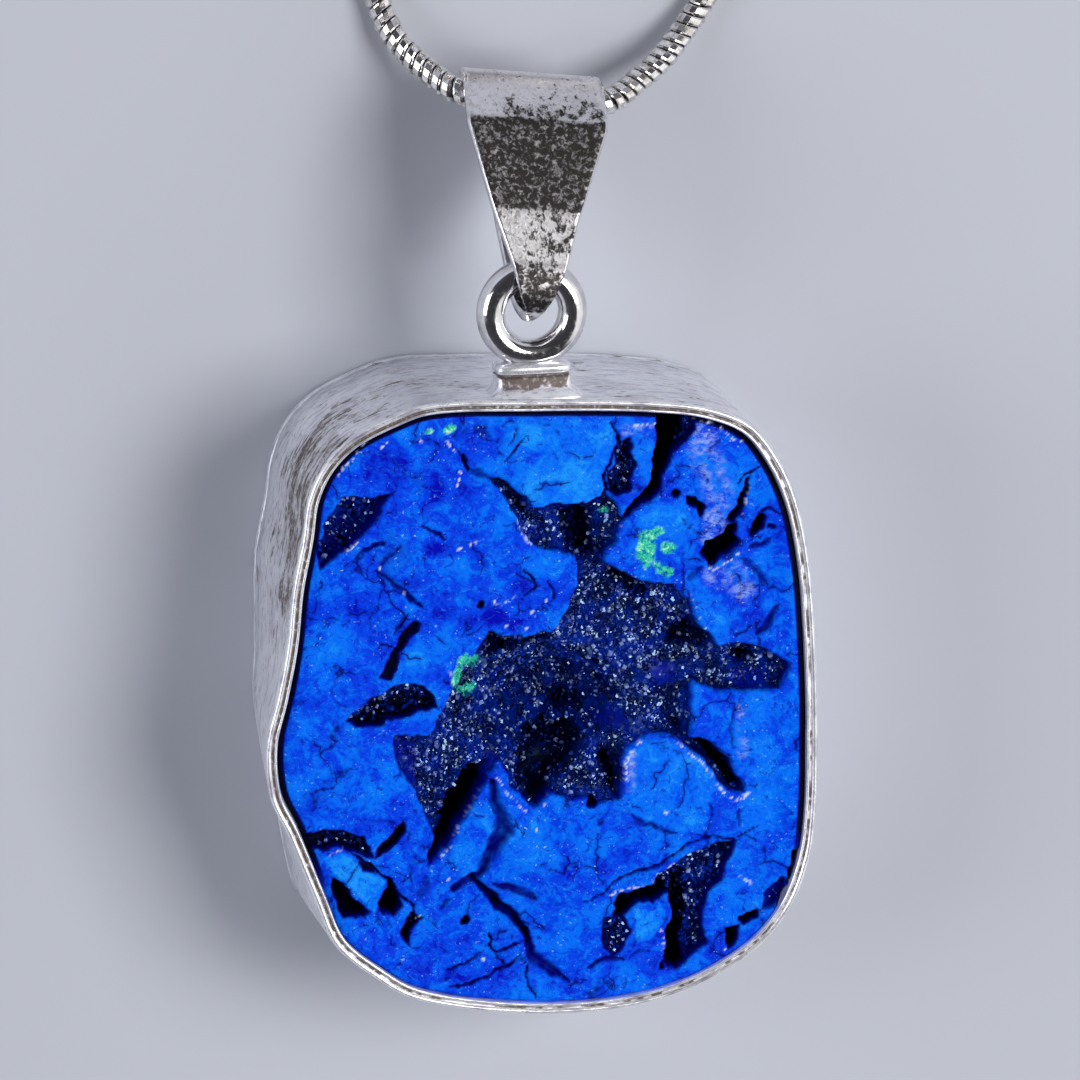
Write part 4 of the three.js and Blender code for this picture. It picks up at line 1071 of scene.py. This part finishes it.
def scattered_crystals():
    """Where small crystals stand, on the crust and in the pockets, and how each place looks."""
    random = np.random.default_rng(17)
    low, high = CRYSTAL_CORNERS
    x = random.uniform(low[0], high[0], CRYSTAL_TRIES)
    y = random.uniform(low[1], high[1], CRYSTAL_TRIES)
    _, look, _ = relief(x, y)
    share = look["druse"] ** 2 * (1 - 0.85 * look["bare"]) * (1 - 0.6 * look["hole_shade"])
    wanted = random.uniform(0, 1, CRYSTAL_TRIES) < share * 0.55
    x = x[wanted]
    y = y[wanted]
    look = {name: values[wanted] for name, values in look.items()}
    step = 0.08
    level = surface_level(x, y)
    slope_x = (surface_level(x + step, y) - level) / step
    slope_y = (surface_level(x, y + step) - level) / step
    normals = np.stack([-slope_x, -slope_y, np.ones(len(x))], axis=1)
    normals /= np.linalg.norm(normals, axis=1)[:, None]
    size = CRYSTAL_SIZE * random.uniform(0.6, 1.5, len(x))
    points = crystal_points(np.stack([x, y, level], axis=1), normals, random, size)
    # Pale tips on a share of the crystals, painted glints
    glint_tipped = random.uniform(0, 1, len(x)) < GLINT_TIP_SHARE
    tip = np.zeros((len(x), 10))
    tip[:, 4:] = (glint_tipped * random.uniform(0.3, 1.0, len(x)))[:, None]
    # Crystals in the holes take part of the painted shade
    looks = {"green": spots_at(x, y, MALACHITE), "bare": look["bare"] * 0.6,
             "hole_shade": look["hole_shade"] * 0.45}
    looks = {name: np.repeat(values, 10) for name, values in looks.items()}
    return points.reshape(-1, 3), {"pale": tip.ravel(), **looks}


def druse():
    """The crust that lines the hollow, and the small crystals on it and in the pockets."""
    places, quads, edges = cells_inside(*CRUST_CORNERS, CRUST_PITCH,
                                        lambda x, y: relief(x, y)[2] > 0.12)
    x, y = places.T
    depth, look, _ = relief(x, y)
    level = FACE_LEVEL - depth
    count = len(places)
    faces = quads.tolist() + (quads[:, ::-1] + count).tolist()
    for a, b in edges.tolist():
        faces.append([b, a, a + count, b + count])
    crystals, crystal_looks = scattered_crystals()
    for base in range(2 * count, 2 * count + len(crystals), 10):
        faces.extend([[base + k for k in face] for face in CRYSTAL_FACES])
    points = np.vstack([np.column_stack([x, y, level]), np.column_stack([x, y, level - CRUST_THICKNESS]),
                        crystals])
    piece = new_piece("druse_crystals", lean(points), faces, druse_material(), smooth=False)
    looks = {"pale": np.zeros(count), "green": spots_at(x, y, MALACHITE),
             "bare": look["bare"], "hole_shade": look["hole_shade"]}
    for name, values in looks.items():
        store(piece, name, np.concatenate([values, values, crystal_looks[name]]))
    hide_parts("druse_crust")
    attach(piece, "pendant")


# Setting

def wall(outline, material):
    """The deep wall: a swept section with two polished lines along its front rim."""
    section = [
        (0.0, PLATE_THICKNESS), (0.0, 3.0), (0.0, 6.0), (0.0, 8.5), (0.0, 9.6), (0.02, 9.84),
        (0.09, 9.97), (0.17, 10.0), (0.24, 9.96), (0.29, 9.9), (0.38, 9.89), (0.43, 9.93),
        (0.48, 9.98), (0.54, 9.97), (0.58, 9.9), (0.6, 9.75), (0.6, 9.0), (0.6, 5.0),
        (0.6, PLATE_THICKNESS),
    ]
    polished = {6, 7, 8, 12, 13, 14}
    grooved = {9, 10, 11}
    brushed = {2, 3, 4}
    points = []
    for distance, level in section:
        loop = inset(outline, distance)
        wobble = 0.03 * layered_noise(loop[:, 0], loop[:, 1] + level * 3, 2.0, 7)
        loop = inset(outline, distance + wobble[:, None]) if distance == 0 else loop
        points.append(np.column_stack([loop, np.full(len(loop), level)]))
    count = len(outline)
    faces = grid_faces(len(section), count, close_rows=True)
    stacked = lean(np.vstack(points))
    piece = new_piece("bezel_setting", stacked, faces, material)
    rows = np.arange(len(section))
    polish = np.repeat(np.isin(rows, list(polished)).astype(float), count)
    dark = np.repeat(np.isin(rows, list(grooved)).astype(float), count)
    patchy = layered_noise(stacked[:, 0], stacked[:, 1], 0.5, 12)
    shaded = smoothstep(-6, 6, stacked[:, 1] - stacked[:, 0])
    store(piece, "polish", polish)
    channel = dark * (0.45 + 0.5 * shaded) * smoothstep(-1.1, -0.1, patchy + 0.5 * shaded)
    outer = np.repeat(np.isin(rows, list(brushed)).astype(float), count)
    # The outer wall darker towards its upper left corner
    corner = smoothstep(9.0, 2.0, np.hypot(stacked[:, 0] + 13, stacked[:, 1] - 11))
    store(piece, "dark", channel + 0.42 * outer * corner)
    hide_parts("bezel_wall")
    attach(piece, "pendant")


def plate(outline, material):
    """The closed back, with a rounded lower edge."""
    rim = inset(outline, 0.2)
    loops = [(outline * 0.1, PLATE_THICKNESS)]
    for distance, level in ((0.0, PLATE_THICKNESS), (0.0, 0.3), (0.06, 0.1), (0.2, 0.0)):
        loops.append((inset(outline, distance), level))
    loops += [(rim * share, 0.0) for share in (0.9, 0.75, 0.55, 0.3, 0.1)]
    stacked = lean(np.vstack([np.column_stack([loop, np.full(len(loop), level)])
                              for loop, level in loops]))
    piece = new_piece("back_cover", stacked, turned(capped_faces(len(loops), len(outline))), material)
    for name in ("polish", "dark"):
        store(piece, name, np.zeros(len(stacked)))
    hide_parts("back_plate")
    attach(piece, "pendant")


def ring(material):
    """Round wire, flattened a little where it is soldered to its seat."""
    rows = 128
    columns = 32
    a, b = np.meshgrid(round_angles(rows), round_angles(columns), indexing="ij")
    squeeze = 1 + 0.12 * np.exp(-((np.cos(a / 2 + math.pi / 4) ** 2) * 12))
    radius = RING_RADIUS + RING_WIRE_RADIUS * np.cos(b)
    x = RING_CENTRE[0] + radius * np.cos(a)
    y = RING_CENTRE[1] + radius * np.sin(a)
    z = RING_CENTRE[2] + RING_WIRE_RADIUS * squeeze * np.sin(b)
    points = np.stack([x, y, z], axis=-1).reshape(-1, 3)
    piece = new_piece("wire_ring", points, grid_faces(rows, columns, close_rows=True), material)
    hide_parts("hanging_ring")
    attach(piece, "pendant")


def seat(material):
    """The soldered block under the ring: a flared foot, a body, a groove and a top plate."""
    levels = [
        (15.85, 2.45, 1.4), (16.0, 2.42, 1.36), (16.12, 2.25, 1.25), (16.3, 2.05, 1.08),
        (16.5, 1.93, 0.98), (16.8, 1.9, 0.95), (16.95, 1.9, 0.95), (16.99, 1.84, 0.9),
        (17.0, 1.72, 0.78), (17.12, 1.72, 0.78), (17.14, 1.84, 0.9), (17.2, 1.92, 0.98),
        (17.45, 1.92, 0.98), (17.6, 1.82, 0.9), (17.66, 1.5, 0.6), (17.66, 0.8, 0.3),
    ]
    corner = 5
    sides = 64
    angle = round_angles(sides)
    square_x = np.sign(np.cos(angle)) * np.abs(np.cos(angle)) ** (2 / corner)
    square_z = np.sign(np.sin(angle)) * np.abs(np.sin(angle)) ** (2 / corner)
    stacked = np.vstack([
        np.column_stack([RING_CENTRE[0] + square_x * half_x, np.full(sides, level),
                         RING_CENTRE[2] + square_z * half_z]) for level, half_x, half_z in levels])
    piece = new_piece("solder_seat", stacked, capped_faces(len(levels), sides), material)
    level = stacked[:, 1]
    groove = smoothstep(0.12, 0.04, np.abs(level - 17.06))
    body = smoothstep(16.2, 16.5, level) * smoothstep(17.1, 17.0, level)
    side = np.abs(stacked[:, 0] - RING_CENTRE[0])
    body = body * smoothstep(1.85, 1.5, side)
    store(piece, "dark", np.clip(groove + 0.9 * body, 0, 1))
    store(piece, "polish", smoothstep(17.1, 17.2, level))
    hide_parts("ring_seat")
    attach(piece, "pendant")


# Bail

def rounded(points, radius, steps):
    """An open line of points with its corners rounded."""
    line = [np.array(points[0], float)]
    for before, corner, after in zip(points, points[1:], points[2:]):
        before, corner, after = (np.array(p, float) for p in (before, corner, after))
        back = before - corner
        ahead = after - corner
        reach = min(radius, np.linalg.norm(back) / 2, np.linalg.norm(ahead) / 2)
        start = corner + back / np.linalg.norm(back) * reach
        end = corner + ahead / np.linalg.norm(ahead) * reach
        for t in np.linspace(0, 1, steps):
            line.append((1 - t) ** 2 * start + 2 * t * (1 - t) * corner + t * t * end)
    line.append(np.array(points[-1], float))
    return line


def bail_loop():
    """The folded strip seen from its side: along its length and across its thickness."""
    tip = [(math.cos(a) * BAIL_TIP, math.sin(a) * BAIL_TIP_DEPTH)
           for a in np.linspace(math.pi, math.pi / 2, 18)]
    line = rounded([*tip[:-1], *BAIL_FRONT], 0.35, 4)
    front = np.array([p for p in line if p[1] >= 0])
    back = front[::-1] * (1, -1)
    loop = np.vstack([front, back[:-1]])
    steps = np.linalg.norm(np.diff(np.vstack([loop, loop[:1]]), axis=0), axis=1)
    return loop[steps > 0.01]


def bail_columns():
    """The strip's section: share of its half width, how much less, depth in it, on an edge or not."""
    shares = [-1, -BEVEL_SHARE, *np.linspace(-0.9, 0.9, 21), BEVEL_SHARE, 1]
    columns = []
    for side, flat, bevel in ((1, 0.0, BEVEL_DEPTH), (-1, BAIL_SHEET, BAIL_SHEET - BEVEL_DEPTH)):
        for share in shares[::side]:
            edge = abs(share) == 1
            columns.append((share, BEVEL_INSET * edge, bevel if edge else flat, edge))
        for depth in (BEVEL_SIDE, BAIL_SHEET - BEVEL_SIDE)[::side]:
            columns.append((side, 0.0, depth, True))
    return np.array(columns, float).T


def bail(material):
    loop = bail_loop()
    along = np.roll(loop, -1, axis=0) - np.roll(loop, 1, axis=0)
    along /= np.linalg.norm(along, axis=1)[:, None]
    edge_u, edge_half = spline(BAIL_EDGE, 6).T
    half = np.interp(loop[:, 0], edge_u, edge_half)
    half *= 1 - (1 - BACK_LEG_SHARE) * smoothstep(0.4, -1.2, loop[:, 1])
    share, less, depth, edge = bail_columns()
    across = (share * (half[:, None] - less)).ravel()
    u = (loop[:, :1] + along[:, 1:] * depth).ravel()
    w = (loop[:, 1:] - along[:, :1] * depth).ravel()
    upper = smoothstep(-0.5, 2.5, u)
    skewed = np.stack([across + BAIL_SKEW[0] * upper * smoothstep(-1.2, 0.4, w),
                       u + BAIL_SKEW[1] * upper, w], axis=1)
    tilt = Matrix.Rotation(math.radians(-BAIL_TILT), 3, "X")
    yaw = Matrix.Rotation(math.radians(BAIL_YAW), 3, "Z")
    pivot = np.array((RING_CENTRE[0], RING_CENTRE[1] + RING_RADIUS, RING_CENTRE[2]))
    points = skewed @ np.array(yaw @ tilt).T + pivot
    faces = turned(grid_faces(len(loop), len(share), close_rows=True))
    piece = new_piece("folded_bail", points, faces, material)
    edge = np.tile(edge, len(loop))
    facet = smoothstep(LOW_CREASE - 0.1, LOW_CREASE + 0.1, u)
    middle = facet * smoothstep(HIGH_CREASE + 0.1, HIGH_CREASE - 0.1, u) * (w > 0)
    low = (1 - facet) * (w > 0)
    crease = smoothstep(0.5, 0.1, np.abs(u - 7.7)) * smoothstep(-2.6, -1.0, across)
    tip = smoothstep(0.3, -1.1, u) * smoothstep(-2.42, -2.2, u)
    blotch = uneven(across, u, BAIL_BLOTCH)
    # Dark colour of the strip: a painted dark reflection over the middle facet, with blotches; tarnished
    # low facet; darker along the upper crease and towards the tip
    dark = np.maximum.reduce([(0.82 + blotch) * middle, 0.26 * low, 0.42 * crease, 0.9 * tip])
    store(piece, "polish", edge)
    store(piece, "dark", dark * (1 - edge))
    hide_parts("bail")
    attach(piece, "bail")


def clasp(material):
    """Barrel clasp: two caps, two threaded halves with a groove between, and knurled bands."""
    start, end = (np.array(p, float) for p in CLASP_ENDS)
    length = np.linalg.norm(end - start)
    half = length / 2
    barrel = half - CLASP_CAP_LENGTH
    profile = [
        (0.0, -half), (0.70, -half), (0.86, -half + 0.08), (0.95, -half + 0.2),
        (0.95, -barrel - 0.1), (0.88, -barrel), (1.1, -barrel + 0.02), (1.24, -barrel + 0.12),
        (1.3, -barrel + 0.3), (1.3, -barrel + 0.9), (1.22, -barrel + 0.95), (1.22, -barrel + 1.05),
        (1.3, -barrel + 1.1), (1.3, -0.25), (1.24, -0.1), (1.16, -0.02),
    ]
    profile += [(radius, -level) for radius, level in profile[::-1]]
    direction = (end - start) / length
    side = np.cross(direction, (0.0, 0.0, 1.0))
    side /= np.linalg.norm(side)
    up = np.cross(side, direction)
    sides = 48
    angle = round_angles(sides)
    middle = (start + end) / 2
    loops = []
    for radius, level in profile:
        knurl = 0.03 * np.cos(angle * 24) if radius > 1.28 else 0 * angle
        wide = np.maximum(radius - np.abs(knurl), 0.001)
        loops.append(middle + direction * level + side * (np.cos(angle) * wide)[:, None]
                     + up * (np.sin(angle) * wide)[:, None])
    piece = new_piece("barrel_clasp", np.vstack(loops), capped_faces(len(profile), sides), material)
    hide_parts("clasp")
    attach(piece, "pendant")
    return piece


# Room

# A dark ceiling over bright walls: height of the direction, colour
SKY = [(0.0, (0.56, 0.58, 0.66)), (0.34, (0.62, 0.64, 0.72)), (0.5, (0.06, 0.06, 0.075)),
       (1.0, (0.04, 0.04, 0.045))]
# Pale places in it: direction, cosines of the outer and inner edge, colour
PANELS = [((0.283, 0.359, 0.891), 0.92, 0.975, (0.12, 0.12, 0.122)),
          ((0.80, -0.12, 0.59), 0.84, 0.93, (0.95, 0.95, 0.97))]
# Lights: name, place, width, power, colour
LIGHTS = [("softbox_key", (230, 60, 380), 220, 1.40, (1.0, 0.99, 0.98)),
          ("softbox_fill", (-380, 40, 240), 200, 0.70, (0.95, 0.97, 1.0))]
LIT_PLACE = (0, 6, 4)


def floor():
    half = 600
    corners = [(-half, -half, 0), (half, -half, 0), (half, half, 0), (-half, half, 0)]
    new_piece("floor", corners, [[0, 1, 2, 3]], floor_material(), False)


def softbox(name, where, width, power, colour):
    data = bpy.data.lights.new(name, "AREA")
    data.shape = "SQUARE"
    data.size = width * MM
    data.energy = power
    data.color = colour
    light = bpy.data.objects.new(name, data)
    light.location = Vector(where) * MM
    towards = Vector(LIT_PLACE) * MM - light.location
    light.rotation_euler = towards.to_track_quat("-Z", "Y").to_euler()
    bpy.context.scene.collection.objects.link(light)


def room():
    world = bpy.data.worlds.new("studio")
    bpy.context.scene.world = world
    world.use_nodes = True
    direction = add_node(world, "ShaderNodeTexCoord", {}).outputs["Generated"]
    height = add_node(world, "ShaderNodeSeparateXYZ", {0: direction}).outputs["Z"]
    ramp = add_node(world, "ShaderNodeValToRGB", {"Fac": height})
    stops = ramp.color_ramp.elements
    stops.remove(stops[1])
    stops[0].color = (*SKY[0][1], 1)
    for level, pale in SKY[1:]:
        stops.new(level).color = (*pale, 1)
    colour = ramp.outputs["Color"]
    for towards, outer, inner, pale in PANELS:
        facing = add_node(world, "ShaderNodeVectorMath", {0: direction, 1: towards},
                          operation="DOT_PRODUCT").outputs["Value"]
        colour = mixed(world, spread(world, facing, outer, inner), colour, pale)
    world.node_tree.links.new(colour, world.node_tree.nodes["Background"].inputs["Color"])
    for light in LIGHTS:
        softbox(*light)
    bpy.context.scene.view_settings.view_transform = "Standard"


camera()
chain_piece, chain_route = chain()
satin = silver_material(
    "satin_silver", dark=(0.55, 0.52, 0.62), light=(0.95, 0.96, 1.0), tarnish_shade_colour=(0.15, 0.12, 0.11),
    stretch=(0.4, 0.4, 1.7), turn=(0, 0, 0), tarnish_shade_range=(0.54, 0.64), rough=(0.36, 0.55),
    grain=0.3, metal=0.66)
aged_and_shaded = silver_material(
    "aged_silver", dark=(0.60, 0.58, 0.59), light=(0.86, 0.84, 0.87), tarnish_shade_colour=(0.045, 0.04, 0.038),
    stretch=(1.6, 1.0, 1.6), turn=(0, 0, 0.4), tarnish_shade_range=(0.54, 0.64), rough=(0.26, 0.42),
    grain=0.26, metal=1.0)
bright = bright_silver_material("bright_silver")
clasp_piece = clasp(bright)
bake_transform(chain_piece)
rim_line = spline(RIM_OUTLINE, 12, closed=True)
stone(rim_line)
druse()
wall(rim_line, satin)
plate(rim_line, satin)
ring(bright)
seat(satin)
bail(aged_and_shaded)
floor()
room()
